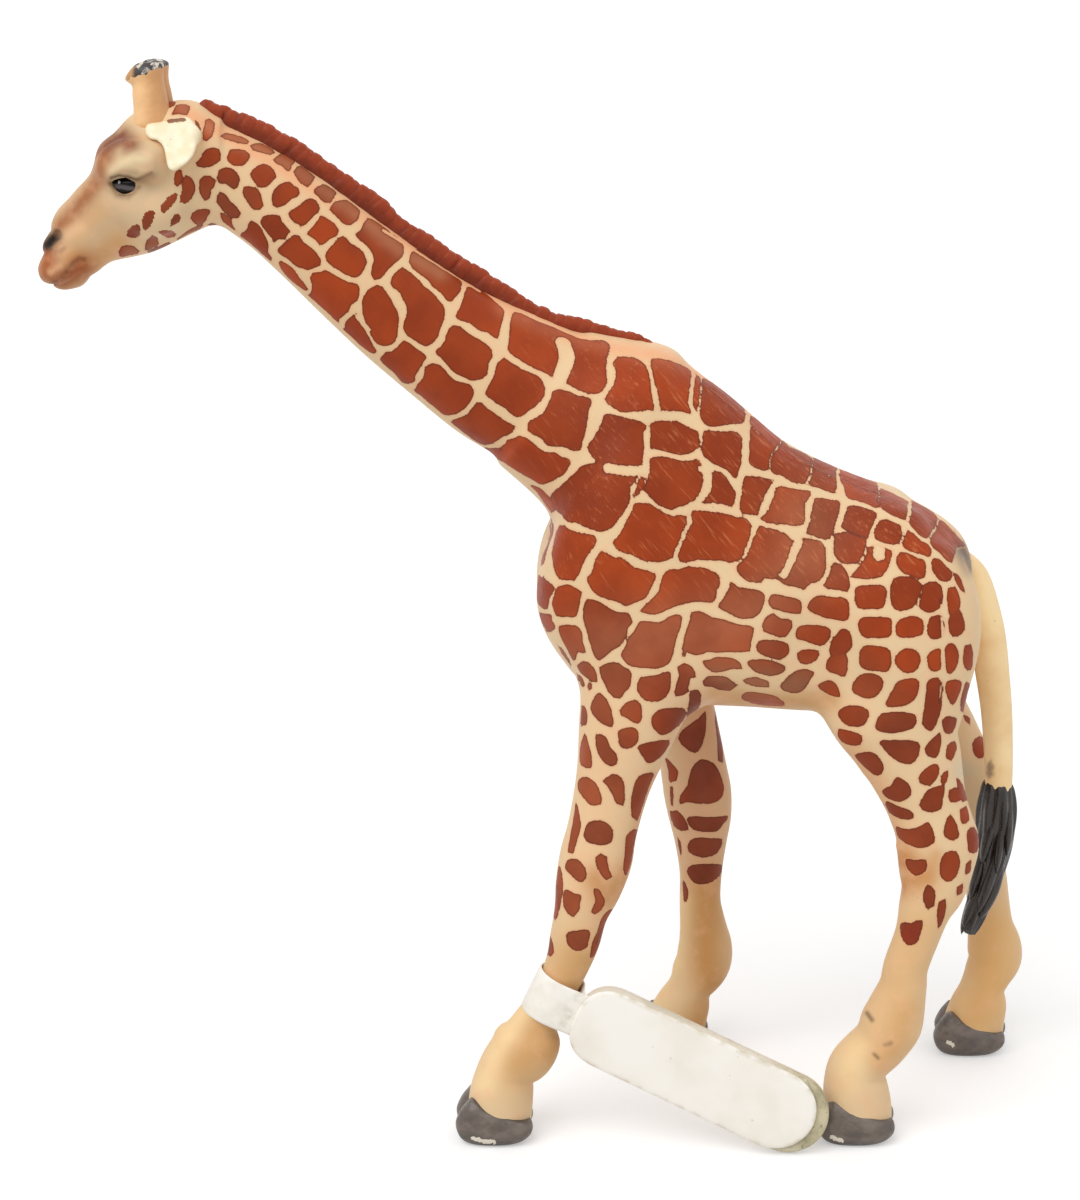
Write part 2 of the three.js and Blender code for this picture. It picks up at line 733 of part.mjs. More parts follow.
function tagStripBody() {
  const rim = new THREE.Shape();
  rim.absarc(0, 0, bandOuter, 0, 2 * Math.PI, false);
  const hole = new THREE.Path();
  hole.absarc(0, 0, bandInner, 0, 2 * Math.PI, true);
  rim.holes.push(hole);
  const band = new THREE.ExtrudeGeometry(rim, {
    depth: strapWidth, bevelEnabled: false, curveSegments: bandSides,
  });
  band.translate(0, 0, -strapWidth / 2);
  const start = bandOuter + jointGap;
  const face = tagSheet(tagOutline(start, 0), stripThickness, bandInner);
  const neckEnd = start + tagRootShare * tagWidth;
  const middle = new THREE.Vector3(neckEnd / 2, -(bandInner + bandOuter) / 2, 0);
  return solid(band).add(face).add(block(neckEnd, stripThickness, strapWidth, middle));
}

function tagBackingBody() {
  const start = bandOuter + jointGap;
  return tagSheet(tagOutline(start, 0), backingThickness, bandInner - backingThickness - jointGap);
}

// Assembly

const coatBrown = 0x9a451c;
const coatCream = 0xdcb68c;
const colours = {
  torso: coatBrown, neck: coatBrown, head: 0xc4a27a, ear: 0xf6ead2, horn: 0xdcae7c,
  mane: 0x7d3520, leg: coatCream, hoof: 0x6f6660, tail: 0xdbb885, tuft: 0x2f2a27,
  strip: 0xf0ece4, backing: 0xd2c39c,
};
const satinRoughness = 0.55;
const paperRoughness = 0.8;

function piece(name, body, colour, roughness = satinRoughness) {
  const material = new THREE.MeshStandardMaterial({ color: colour, roughness, metalness: 0 });
  const mesh = new THREE.Mesh(geometryOf(body), material);
  mesh.name = name;
  return mesh;
}

const figure = new THREE.Group();
const legSets = legs.map(legPieces);
const groove = maneGroove();

let torso = trunkBody();
for (const { haunch } of legSets) {
  torso = torso.add(haunch);
}
for (const { hole } of legSets) {
  torso = torso.subtract(hole);
}
torso = torso
  .subtract(socket(neckRoot, rootNormal.clone().negate(), neckPlugLength, neckPlugRadius))
  .subtract(loft(tailRings(tailShares, jointGap)));
figure.add(piece('torso', torso, colours.torso));
figure.add(piece('neck', neckBody().subtract(groove), colours.neck));

let head = headSkull().subtract(groove);
for (const [side, hand] of [['left', -1], ['right', 1]]) {
  head = head
    .subtract(loft(earRings(hand, earShares, jointGap)))
    .subtract(loft(hornRings(hand, hornShares, jointGap)));
  figure.add(piece(`${side}_ear`, loft(earRings(hand, earShares, 0)), colours.ear));
  figure.add(piece(`${side}_horn`, loft(hornRings(hand, hornShares, 0)), colours.horn));
}
figure.add(piece('head', head, colours.head));
figure.add(piece('mane', maneBody(), colours.mane));

for (const { spec, shank, ankle } of legSets) {
  figure.add(piece(spec.name, shank, colours.leg));
  figure.add(piece(spec.hoof, hoofBody(spec, ankle), colours.hoof));
}

figure.add(piece('tail', tailBody(), colours.tail));
figure.add(piece('tail_tuft', tuftBody(), colours.tuft));

const tag = new THREE.Group();
tag.position.copy(bandCentre);
tag.rotation.set(0, tagTilt, -yaw, 'YZX');
tag.add(piece('tag_strip', tagStripBody(), colours.strip, paperRoughness));
tag.add(piece('tag_backing', tagBackingBody(), colours.backing, paperRoughness));
figure.add(tag);

// The origin stands on the floor in the middle of the whole figure.
const box = new THREE.Box3().setFromObject(figure, true);
const middle = box.getCenter(new THREE.Vector3());
figure.position.set(-middle.x, -middle.y, -box.min.z);

export default figure;
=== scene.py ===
"""A painted plastic giraffe, walking, with a bare white hang tag looped round its near foreleg.

Sizes are in millimetres, and meshes are scaled to metres as they are made.
"""
import math

import bmesh
import bpy
import numpy as np
import openvdb
from mathutils import Matrix, Vector
from mathutils.bvhtree import BVHTree


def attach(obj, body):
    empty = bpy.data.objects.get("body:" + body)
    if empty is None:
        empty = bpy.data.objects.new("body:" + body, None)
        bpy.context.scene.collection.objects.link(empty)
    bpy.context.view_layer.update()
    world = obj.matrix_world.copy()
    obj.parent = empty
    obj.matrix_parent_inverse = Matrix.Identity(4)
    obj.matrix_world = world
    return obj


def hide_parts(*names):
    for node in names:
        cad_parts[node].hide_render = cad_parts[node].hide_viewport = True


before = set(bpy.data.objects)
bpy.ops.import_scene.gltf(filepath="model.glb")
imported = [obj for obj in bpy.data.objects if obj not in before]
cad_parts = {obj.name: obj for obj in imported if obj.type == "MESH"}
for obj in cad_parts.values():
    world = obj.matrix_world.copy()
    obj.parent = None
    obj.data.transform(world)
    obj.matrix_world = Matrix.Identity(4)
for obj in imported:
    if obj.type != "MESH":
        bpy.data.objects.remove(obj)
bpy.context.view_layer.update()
MM = 0.001

# Where the picture is taken from
# A small figure photographed from its left side and a little from above, with a long lens.
# Picture points in this file are (across, down) in a picture of 1080 by 1200.
picture_wide, picture_high = 1080, 1200
camera_place = np.array([-3.07, -358.51, 175.0])
camera_aim = np.array([-3.07, 1.49, 82.0])
lens_mm, sensor_mm = 72.5, 36.0

camera_data = bpy.data.cameras.new("camera")
camera_data.lens = lens_mm
camera_data.sensor_width = sensor_mm
camera_data.clip_start = 0.01
camera_data.clip_end = 100
camera = bpy.data.objects.new("camera", camera_data)
camera.location = Vector(camera_place * MM)
camera.rotation_mode = "QUATERNION"
camera.rotation_quaternion = Vector(camera_aim - camera_place).to_track_quat("-Z", "Y")
bpy.context.scene.collection.objects.link(camera)
bpy.context.scene.camera = camera
camera_turn = np.array(camera.rotation_quaternion.to_matrix())
picture_reach = lens_mm / sensor_mm * picture_high


def sight_line(across, down):
    """The direction in which the camera sees a point of the picture."""
    seen = np.array([across - picture_wide / 2, picture_high / 2 - down, -picture_reach])
    line = camera_turn @ seen
    return line / np.linalg.norm(line)


def in_picture(places):
    """Where places in millimetres are seen in the picture, as (across, down)."""
    seen = (places - camera_place) @ camera_turn
    return np.column_stack([picture_wide / 2 - picture_reach * seen[:, 0] / seen[:, 2],
                            picture_high / 2 + picture_reach * seen[:, 1] / seen[:, 2]])


# Floor and lights
# A white sweep under a large soft lamp from the upper left, with a weaker one from the right.
# The floor shows white to the camera and keeps the soft shadows under the hooves and the tag.
scene = bpy.context.scene
scene.view_settings.view_transform = "Standard"
floor_half, floor_white, floor_glow = 40.0, 0.74, 0.36
room_strength = 0.50
lamp_plan = [
    ("key_lamp", (-0.55, -0.72, 1.05), 50, 1.62),
    ("fill_lamp", (0.95, -0.60, 0.55), 85, 0.44),
    ("rim_lamp", (0.30, 0.90, 0.80), 70, 0.40),
]


def put(tree, kind, inputs, **settings):
    """A node with its settings; inputs are plain values, or outputs of other nodes to link."""
    made = tree.nodes.new(kind if "Node" in kind else "ShaderNode" + kind)
    for key, value in settings.items():
        setattr(made, key, value)
    for key, value in inputs.items():
        if isinstance(value, bpy.types.NodeSocket):
            tree.links.new(value, made.inputs[key])
        else:
            made.inputs[key].default_value = value
    return made


def seen_only_rays(tree):
    """1 for camera, glossy and transmission rays, so that what is bright there lights nothing."""
    ray = put(tree, "LightPath", {}).outputs
    seen = ray["Is Camera Ray"]
    for other in ("Is Glossy Ray", "Is Transmission Ray"):
        seen = put(tree, "Math", {0: seen, 1: ray[other]}, operation="MAXIMUM").outputs[0]
    return seen


world = bpy.data.worlds.new("room")
scene.world = world
world.use_nodes = True
tree = world.node_tree
tree.nodes.clear()
room_light = put(tree, "Background", {"Color": (1.0, 0.99, 0.975, 1), "Strength": room_strength}).outputs[0]
white_sheet = put(tree, "Background", {"Color": (1, 1, 1, 1), "Strength": 1.0}).outputs[0]
which = put(tree, "MixShader", {0: seen_only_rays(tree), 1: room_light, 2: white_sheet}).outputs[0]
put(tree, "OutputWorld", {"Surface": which})

floor_mesh = bpy.data.meshes.new("floor")
floor_corners = [(-floor_half, -floor_half, 0), (floor_half, -floor_half, 0),
                 (floor_half, floor_half, 0), (-floor_half, floor_half, 0)]
floor_mesh.from_pydata(floor_corners, [], [(0, 1, 2, 3)])
floor = bpy.data.objects.new("floor", floor_mesh)
scene.collection.objects.link(floor)
floor_paint = bpy.data.materials.new("white_sweep")
floor_paint.use_nodes = True
tree = floor_paint.node_tree
tree.nodes.clear()
paper = put(tree, "BsdfDiffuse", {"Color": (floor_white, floor_white, floor_white, 1)}).outputs[0]
glow = put(tree, "Emission", {"Strength": floor_glow}).outputs[0]
together = put(tree, "AddShader", {0: paper, 1: glow}).outputs[0]
which = put(tree, "MixShader", {0: seen_only_rays(tree), 1: paper, 2: together}).outputs[0]
put(tree, "OutputMaterial", {"Surface": which})
floor_mesh.materials.append(floor_paint)

for lamp_name, lamp_from, lamp_angle, lamp_strength in lamp_plan:
    lamp_data = bpy.data.lights.new(lamp_name, "SUN")
    lamp_data.angle = math.radians(lamp_angle)
    lamp_data.energy = lamp_strength
    lamp = bpy.data.objects.new(lamp_name, lamp_data)
    lamp.rotation_mode = "QUATERNION"
    lamp.rotation_quaternion = (-Vector(lamp_from)).to_track_quat("-Z", "Y")
    scene.collection.objects.link(lamp)

# The master carving
# Such a figure is first carved in one piece, and the moulds are taken from it.
# Every form here is a closed skin or a ball or a bar, and they melt into each other like wax.
# Tables hold the left view's sections, measured from the drawing's zero, with the half width of each.
mid_y = 1.486
drawing_zero = np.array([-2.27, mid_y, 0.0])
band_mm = 5.0


def between(a, b, c, d, parts):
    """That many rows of a smooth curve from row b towards row c, which has a before it and d after it."""
    square, cube = 2 * a - 5 * b + 4 * c - d, 3 * b - a - 3 * c + d
    return [0.5 * (2 * b + (c - a) * t + square * t * t + cube * t ** 3) for t in np.arange(parts) / parts]


def soft_curve(points, parts):
    """A smooth curve through rows of numbers, with that many parts between two rows."""
    rows = np.asarray(points, float)
    rows = np.vstack([2 * rows[0] - rows[1], rows, 2 * rows[-1] - rows[-2]])
    made = []
    for i in range(1, len(rows) - 2):
        made += between(*rows[i - 1:i + 3], parts)
    return np.array(made + [rows[-2]])


def full_turn(count):
    """That many angles all round."""
    return np.arange(count) * 2 * math.pi / count


def squarish(angles, power):
    """How far out a rounded square reaches at each angle; a higher power makes it squarer."""
    return (np.abs(np.cos(angles)) ** power + np.abs(np.sin(angles)) ** power) ** (-1 / power)


def ways_along(rows):
    """The direction of a line at each of its points."""
    ways = np.gradient(rows, axis=0)
    return ways / np.linalg.norm(ways, axis=1)[:, None]


def skin(rings):
    """A closed skin over rings of points, all as long as the first, as points, triangles and quads."""
    rings = np.asarray(rings)
    count, around = rings.shape[:2]
    points = np.vstack([rings.reshape(-1, 3), rings[0].mean(0), rings[-1].mean(0)])
    quads, triangles = [], []
    for i in range(count - 1):
        for j in range(around):
            k = (j + 1) % around
            quads.append((i * around + j, i * around + k, (i + 1) * around + k, (i + 1) * around + j))
    first, last = count * around, count * around + 1
    for j in range(around):
        k = (j + 1) % around
        triangles.append((first, k, j))
        triangles.append((last, (count - 1) * around + j, (count - 1) * around + k))
    return points, np.array(triangles, np.uint32), np.array(quads, np.uint32)


def facing_out(shape):
    """The same skin with its faces turned outwards, whichever way its rings run."""
    points, triangles, quads = shape
    a, b, c = (points[triangles[:, i]] for i in range(3))
    volume = np.einsum("ij,ij->i", a, np.cross(b, c)).sum()
    for i, j, k in ((0, 1, 2), (0, 2, 3)):
        a, b, c = points[quads[:, i]], points[quads[:, j]], points[quads[:, k]]
        volume += np.einsum("ij,ij->i", a, np.cross(b, c)).sum()
    if volume < 0:
        triangles, quads = triangles[:, ::-1].copy(), quads[:, ::-1].copy()
    return points, triangles, quads


def body_skin(table, sag, parts=6, around=56):
    """Sections of (low x, low z, high x, high z, half width) with the widest place sagging by a share."""
    angles = full_turn(around)
    rings = []
    for low_x, low_z, high_x, high_z, half in soft_curve(table, parts):
        low, high = np.array([low_x, 0, low_z]), np.array([high_x, 0, high_z])
        up = np.sin(angles)
        lift = up - sag * (1 - up * up)
        side = np.sign(np.cos(angles)) * np.abs(np.cos(angles)) ** 0.92 * half
        ring = (low + high) / 2 + np.outer(lift, (high - low) / 2)
        ring[:, 1] = side
        rings.append(ring + drawing_zero)
    return facing_out(skin(rings))


def leg_skin(table, hand, parts=5, around=40):
    """Sections of (z, x, depth square to the leg, distance from the middle, half width)."""
    angles = full_turn(around)
    rows = soft_curve(table, parts)
    rings = []
    for (z, x, depth, away, half), (way_x, way_z) in zip(rows, ways_along(rows[:, [1, 0]])):
        ring = np.zeros((around, 3))
        ring[:, 0] = x - way_z * np.cos(angles) * depth / 2
        ring[:, 2] = z + way_x * np.cos(angles) * depth / 2
        ring[:, 1] = hand * away + np.sin(angles) * half
        rings.append(ring + drawing_zero)
    return facing_out(skin(rings))


trunk_table = [
    (-6.2, 103.8, 7.2, 122.8, 9.6), (1.0, 96.6, 18, 120.5, 12.5), (-0.2, 88.5, 21, 118.8, 14.2),
    (-0.8, 82, 24, 116.6, 15.7), (1.0, 76.5, 27.5, 114, 17), (4.6, 70.7, 31.5, 110.6, 18),
    (11, 66.8, 36, 106.9, 18.5), (20, 66.8, 41, 104.1, 18.7), (30, 66.5, 46, 101.9, 18.7),
    (40, 65.9, 51.5, 99.7, 18.6), (49, 66.4, 57.3, 96.9, 17.8), (56, 67.6, 61.8, 94.1, 16),
    (61.2, 70, 64.2, 91.2, 12.7), (63.9, 75, 64.8, 87.2, 8.6), (65, 78.5, 65.2, 84, 4.5)]
neck_table = [
    (-50.5, 141.0, -53.5, 155.0, 5.0), (-47.5, 139.0, -48.3, 154.5, 5.5), (-43.5, 136.0, -41.0, 151.4, 5.5),
    (-38.8, 131.6, -33.5, 146.8, 5.8), (-33.0, 125.8, -26.3, 141.5, 6.2), (-27.0, 120.0, -18.8, 136.0, 6.7),
    (-20.5, 114.4, -10.8, 130.6, 7.4), (-13.5, 108.6, -2.5, 126.6, 8.3), (-6.2, 103.8, 7.2, 122.8, 9.6),
    (1.0, 96.6, 18, 120.5, 12.5), (4.0, 90.0, 20.5, 115.5, 12.5)]
head_table = [
    (-47.5, 140.0, -47.4, 155.0, 5.4), (-50.4, 138.9, -51, 157.2, 6.3), (-54, 137.2, -54.5, 157.3, 7.0),
    (-58, 135.4, -59.9, 155.7, 7.0), (-61.2, 134.6, -63.0, 152.9, 6.4), (-63.2, 134.2, -65.3, 151.0, 5.9),
    (-64.8, 133.7, -66.3, 148.1, 5.4),
    (-67.4, 131.9, -68.2, 143.7, 4.6), (-70, 131.4, -70.9, 139.8, 4.1), (-72.2, 130.9, -73.5, 137, 3.9),
    (-73.8, 131.0, -74.6, 133.8, 3.0)]
leg_tables = {
    "left_foreleg": (-1, [
        (88, 15, 15, 9.5, 5), (80, 14.6, 19, 11, 6.4), (72, 13.8, 17.2, 11.8, 6.6), (64, 12, 14.3, 12.2, 6.2),
        (57, 10.3, 11.5, 12.7, 5.4), (50, 8.75, 10.6, 13.3, 4.9), (45, 7.7, 11.1, 13.8, 4.7),
        (40.3, 6.5, 10.1, 14.1, 4.4), (36.2, 5.4, 8.2, 14.4, 3.8), (32, 4.5, 7.7, 14.7, 3.5),
        (28.3, 3.4, 6.8, 15, 3.1), (23.2, 1.2, 6.1, 15.2, 3.06), (19.0, -1.3, 7.0, 15.4, 3.2),
        (16.2, -2.3, 9.8, 15.6, 4.1), (13.8, -3.8, 10.4, 15.7, 4.3), (11.4, -5.9, 8.7, 15.8, 4.4),
        (8.3, -6.6, 9.7, 16, 4.6),
        (4.5, -7.0, 10.0, 16, 4.4), (1.5, -7.1, 9.6, 16, 4.2)]),
    "right_foreleg": (1, [
        (88, 16.5, 15, 9.5, 5), (80, 17.5, 19, 11, 6.4), (72, 18.6, 17, 11.8, 6.6), (64, 19.8, 14, 12.2, 6.2),
        (59.7, 21.6, 11.9, 12.5, 5.6), (54.6, 23.3, 10.6, 12.9, 5.2), (49.5, 24.3, 10.8, 13.3, 4.9),
        (46, 24.9, 11.0, 13.6, 4.7), (41.7, 25.4, 10.2, 14, 4.4), (37.3, 25.6, 8.5, 14.3, 3.8),
        (32.1, 25.7, 7.0, 14.6, 3.4), (26.8, 25.7, 6.8, 14.9, 3.3), (22, 26.3, 7.8, 15.2, 3.6),
        (18.8, 26.7, 8.9, 15.4, 4.0), (15.8, 26.5, 9.2, 15.6, 4.2), (13.2, 25.3, 8.5, 15.7, 4.3),
        (11, 24.3, 7.2, 15.8, 4.3), (8.3, 23.4, 8.8, 16, 4.6), (4.5, 22.1, 10, 16, 4.4),
        (1.5, 21.9, 9.6, 16, 4.2)]),
    "left_hind_leg": (-1, [
        (92, 53, 14, 8.5, 4.5), (84, 53.2, 20, 10.5, 6), (77, 53.4, 20.8, 11.5, 6.8),
        (70, 53.5, 19.5, 12, 6.8), (64, 54.1, 16.8, 12.3, 6.3), (60, 55.6, 14.8, 12.6, 5.8),
        (56.3, 56.9, 13.1, 12.9, 5.3), (53.2, 57.9, 12.1, 13.1, 5), (50, 59, 12, 13.4, 4.9),
        (47.3, 59.6, 12.6, 13.6, 4.7),
        (44, 59.5, 11.6, 13.8, 4.5), (40.3, 59.1, 10, 14.1, 4.2), (37, 58.0, 8.1, 14.3, 3.8),
        (33, 57.0, 6.9, 14.6, 3.5), (28, 55.4, 6.8, 14.9, 3.4), (24.7, 55.0, 7.3, 15.1, 3.6),
        (21.4, 54.2, 8.7, 15.3, 4.0), (18.5, 53.3, 9.6, 15.5, 4.3), (15.6, 51.8, 8.7, 15.7, 4.3),
        (13.4, 49.7, 8.5, 15.8, 4.4), (11.2, 48.1, 8.8, 15.9, 4.5), (8.3, 48.1, 10, 16, 4.6),
        (4.5, 48.7, 10.3, 16, 4.4), (1.5, 48.8, 9.9, 16, 4.2)]),
    "right_hind_leg": (1, [
        (92, 53.5, 14, 8.5, 4.5), (84, 54, 20, 10.5, 6), (77, 55, 21.5, 11.5, 6.8), (70, 56.5, 19, 12, 6.8),
        (64, 58.7, 15.5, 12.3, 6.2), (60, 61, 14, 12.6, 5.8), (56, 63.6, 13, 12.9, 5.3),
        (53, 65.3, 12.6, 13.1, 5), (50, 67.3, 12.4, 13.4, 4.9), (46.5, 69, 12.3, 13.6, 4.7),
        (43, 69.6, 11.4, 13.8, 4.4), (40, 70.2, 10.3, 14.1, 4.2), (35, 71.4, 8.2, 14.5, 3.7),
        (30.3, 72.8, 7.0, 14.8, 3.4), (25.9, 73.5, 7.0, 15.1, 3.4), (22.4, 74, 7.5, 15.3, 3.7),
        (19, 74.8, 8.8, 15.5, 4.1), (16.3, 75.1, 8.8, 15.7, 4.2), (13.5, 74.1, 7.7, 15.8, 4.3),
        (11.2, 73.4, 7.2, 15.9, 4.4), (8.3, 73, 9, 16, 4.6), (4.5, 72.2, 10, 16, 4.4),
        (1.5, 72.1, 9.6, 16, 4.2)])}

forms = []


def model_skin(shape, melt):
    """Adds a skin to the carving. melt is how far its joints with what is there run together."""
    forms.append(("skin", shape, melt, 1))


def press_ball(place, radii, melt, tilt=0.0, sign=1, both=True, turn=None):
    """Adds or hollows an egg at a drawing place; tilt turns it in the side view, and both makes its twin."""
    if turn is None:
        turn = np.array(Matrix.Rotation(math.radians(-tilt), 3, "Y"))
    for hand in ((1, -1) if both else (1,)):
        mirror = np.diag([1, hand, 1])
        centre = mirror @ np.array(place, float) + drawing_zero
        forms.append(("ball", (centre, np.array(radii, float), mirror @ turn @ mirror), melt, sign))


def lay_bar(start, end, thick, thin, melt, sign=1, both=True):
    """Adds or hollows a bar with round ends between two drawing places."""
    for hand in ((1, -1) if both else (1,)):
        mirror = np.array([1, hand, 1])
        ends = mirror * start + drawing_zero, mirror * end + drawing_zero
        forms.append(("bar", (*ends, thick, thin), melt, sign))


model_skin(body_skin(trunk_table, 0.22), 0)
model_skin(body_skin(neck_table, 0.05), 3.0)
model_skin(body_skin(head_table, -0.05), 1.5)
for leg_name, (hand, table) in leg_tables.items():
    model_skin(leg_skin(table, hand), 3.5)

# Shoulder, elbow, hip, stifle and flank, which swell and sink a little under the painted coat
press_ball((11, -11.5, 92), (8.5, 4.6, 15), 5, tilt=-14)
press_ball((20.5, -12.5, 74.5), (4.5, 4.5, 5.5), 3)
press_ball((53, -12.5, 82), (10, 5.5, 12), 5, tilt=10)
press_ball((47.6, -13, 68.5), (5, 4.6, 6), 4)
press_ball((47.5, -8.5, 93.5), (8, 4.5, 3.8), 5, tilt=15)
press_ball((40.5, -20.6, 75), (5, 3.0, 8), 6, sign=-1, tilt=12)

# The breast, and the dip between it and the shoulder
press_ball((4.2, -6.5, 84), (3.8, 5.5, 7.0), 5, tilt=8)


def carve(low, high, grain):
    """The carving as distances to its surface over a block, in millimetres, negative inside."""
    start = np.floor(np.array(low) / grain).astype(int)
    size = np.ceil(np.array(high) / grain).astype(int) - start
    axes = [((start[i] + np.arange(size[i])) * grain).astype(np.float32) for i in range(3)]
    solid = np.full(size, band_mm, np.float32)
    for kind, data, melt, sign in forms:
        if kind == "skin":
            box_low, box_high = data[0].min(0) - band_mm, data[0].max(0) + band_mm
        elif kind == "ball":
            box_low = data[0] - data[1].max() - melt - 1
            box_high = data[0] + data[1].max() + melt + 1
        else:
            room = max(data[2], data[3]) + melt + 1
            box_low = np.minimum(data[0], data[1]) - room
            box_high = np.maximum(data[0], data[1]) + room
        first = np.clip(np.floor(box_low / grain).astype(int) - start, 0, size)
        last = np.clip(np.ceil(box_high / grain).astype(int) - start, 0, size)
        if (last <= first).any():
            continue
        part = tuple(slice(a, b) for a, b in zip(first, last))
        x, y, z = np.meshgrid(*[axes[i][part[i]] for i in range(3)], indexing="ij", sparse=True)
        if kind == "skin":
            points, triangles, quads = data
            grid = openvdb.FloatGrid.createLevelSetFromPolygons(
                points.astype(np.float32), triangles=triangles, quads=quads,
                transform=openvdb.createLinearTransform(voxelSize=grain), halfWidth=band_mm / grain)
            new = np.zeros(last - first, np.float32)
            grid.copyToArray(new, ijk=tuple(int(v) for v in start + first))
        elif kind == "ball":
            centre, radii, turn = data
            dx, dy, dz = x - centre[0], y - centre[1], z - centre[2]
            near = 0
            far = 0
            for i in range(3):
                along = (dx * turn[0, i] + dy * turn[1, i] + dz * turn[2, i]) / radii[i]
                near = near + along * along
                far = far + (along / radii[i]) ** 2
            near, far = np.sqrt(near), np.sqrt(far) + 1e-6
            new = near * (near - 1) / far
        else:
            a, b, thick, thin = data
            way = b - a
            t = ((x - a[0]) * way[0] + (y - a[1]) * way[1] + (z - a[2]) * way[2]) / (way @ way)
            t = np.clip(t, 0, 1)
            new = np.sqrt((x - a[0] - t * way[0]) ** 2 + (y - a[1] - t * way[1]) ** 2
                          + (z - a[2] - t * way[2]) ** 2) - (thick + (thin - thick) * t)
        old = solid[part]
        if sign < 0:
            old, new = -old, new
        if melt:
            share = np.clip(0.5 + 0.5 * (old - new) / melt, 0, 1)
            mixed = old * (1 - share) + new * share - melt * share * (1 - share)
        else:
            mixed = np.minimum(old, new)
        solid[part] = -mixed if sign < 0 else mixed
    return solid, start


def all_faces(triangles, quads):
    return [tuple(t) for t in triangles] + [tuple(q) for q in quads]


def cast(solid, start, grain):
    """The surface of a carved block as points in millimetres and faces."""
    grid = openvdb.FloatGrid(float(band_mm))
    grid.copyFromArray(np.ascontiguousarray(solid), ijk=tuple(int(v) for v in start))
    grid.transform = openvdb.createLinearTransform(voxelSize=grain)
    points, triangles, quads = grid.convertToPolygons(0.0, 0.0)
    return np.asarray(points, float), all_faces(triangles, quads)


# The first rough cast of the whole body, on which the face's features and the coat are laid out
rough_grain = 0.8
body_low, body_high = np.array([-80.0, -20.0, 3.0]), np.array([80.0, 23.0, 160.0])
rough_points, rough_faces = cast(*carve(body_low, body_high, rough_grain), rough_grain)
rough_body = BVHTree.FromPolygons([Vector(p) for p in rough_points], rough_faces)


def nearest_on_body(place):
    """The nearest place on the rough cast, and the way the body faces there."""
    found, normal, _, _ = rough_body.find_nearest(Vector(place))
    return np.array(found), np.array(normal)


def touch(across, down):
    """The drawing place where the camera sees a point of the picture on the body, or just beside it."""
    ray = sight_line(across, down)
    hit = rough_body.ray_cast(Vector(camera_place), Vector(ray))[0]
    if hit is None:
        middle = camera_place + ray * (mid_y - camera_place[1]) / ray[1]
        hit = nearest_on_body(middle)[0]
    return np.array(hit) - drawing_zero


# The face
# Brow, eyelids, nostrils and lips are modelled finely before the moulds are taken.
# Each is laid along points of the left side as the picture shows them, and has a twin on the right.
def lay_line(points, thick, melt, sign=1, sink=0.0):
    """A raised or sunk line through picture points on the face, sunk into it by that much."""
    places = [touch(*p) + np.array([0, sink, 0]) for p in soft_curve(points, 3)]
    for start, end in zip(places, places[1:]):
        lay_bar(start, end, thick, thick, melt, sign)


eye_place = touch(124.0, 185.0)
eye_normal = np.array([-0.30, -0.94, 0.12])
eye_normal /= np.linalg.norm(eye_normal)
eye_along = np.cross(eye_normal, (0.10, 0, 1.0))
eye_along /= np.linalg.norm(eye_along)
eye_turn = np.column_stack([eye_along, eye_normal, np.cross(eye_along, eye_normal)])
brow_line = [(111, 170), (119, 163), (131, 159), (144, 160), (154, 166)]
upper_lid = [(108.5, 180), (111.5, 175.5), (119, 173), (128, 174), (137, 178.5), (144, 176), (151, 172.5)]
lower_lid = [(108.5, 183), (111.5, 189.5), (118, 195), (124, 197.5), (131.5, 194), (138, 186), (142, 180)]
cheek_line = [(128, 205), (150, 214), (168, 206)]
nose_line = [(92, 190), (75, 212), (62, 229)]
nostril_line = [(47.5, 245), (51, 240.5), (56.5, 236)]
nostril_rim = [(43.5, 248), (45.5, 240), (50.5, 233.5), (57, 230.5), (60.5, 236)]
mouth_line = [(52, 282), (60, 278), (66, 272.5)]
lower_lip = [(60, 282), (70, 281), (80, 277)]
upper_lip = [(50, 272), (58, 268), (66, 262)]

lay_line(brow_line, 1.5, 2.4, sink=0.45)
lay_line(nose_line, 1.2, 2.0, sink=1.5)
lay_line(cheek_line, 1.6, 3.0, sink=1.2)
lay_line(upper_lip, 1.4, 1.6, sink=1.1)
lay_line(lower_lip, 0.7, 1.2, sink=0.55)
press_ball(eye_place, (2.32, 1.2, 1.52), 0.5, sign=-1, turn=eye_turn)
lay_line(upper_lid, 0.46, 0.40, sink=-0.02)
lay_line(lower_lid, 0.34, 0.45, sink=0.16)
lay_line(mouth_line, 0.45, 0.30, sign=-1, sink=-0.42)
lay_line(nostril_rim, 0.42, 0.5, sink=0.28)
lay_line(nostril_line, 0.98, 0.35, sign=-1, sink=-0.10)


def as_object(name, points_mm, faces):
    """A mesh object at the origin from points in millimetres, with its faces turned outwards."""
    mesh = bpy.data.meshes.new(name)
    mesh.from_pydata([tuple(p) for p in np.asarray(points_mm) * MM], [], faces)
    mesh.update()
    made = bpy.data.objects.new(name, mesh)
    scene.collection.objects.link(made)
    if faces:
        outward(made)
    return made


def outward(made):
    """Turns the faces outwards and smooths the shading, keeping sharp edges sharp."""
    work = bmesh.new()
    work.from_mesh(made.data)
    bmesh.ops.recalc_face_normals(work, faces=work.faces)
    if work.calc_volume(signed=True) < 0:
        bmesh.ops.reverse_faces(work, faces=work.faces)
    work.to_mesh(made.data)
    work.free()
    made.data.shade_smooth()


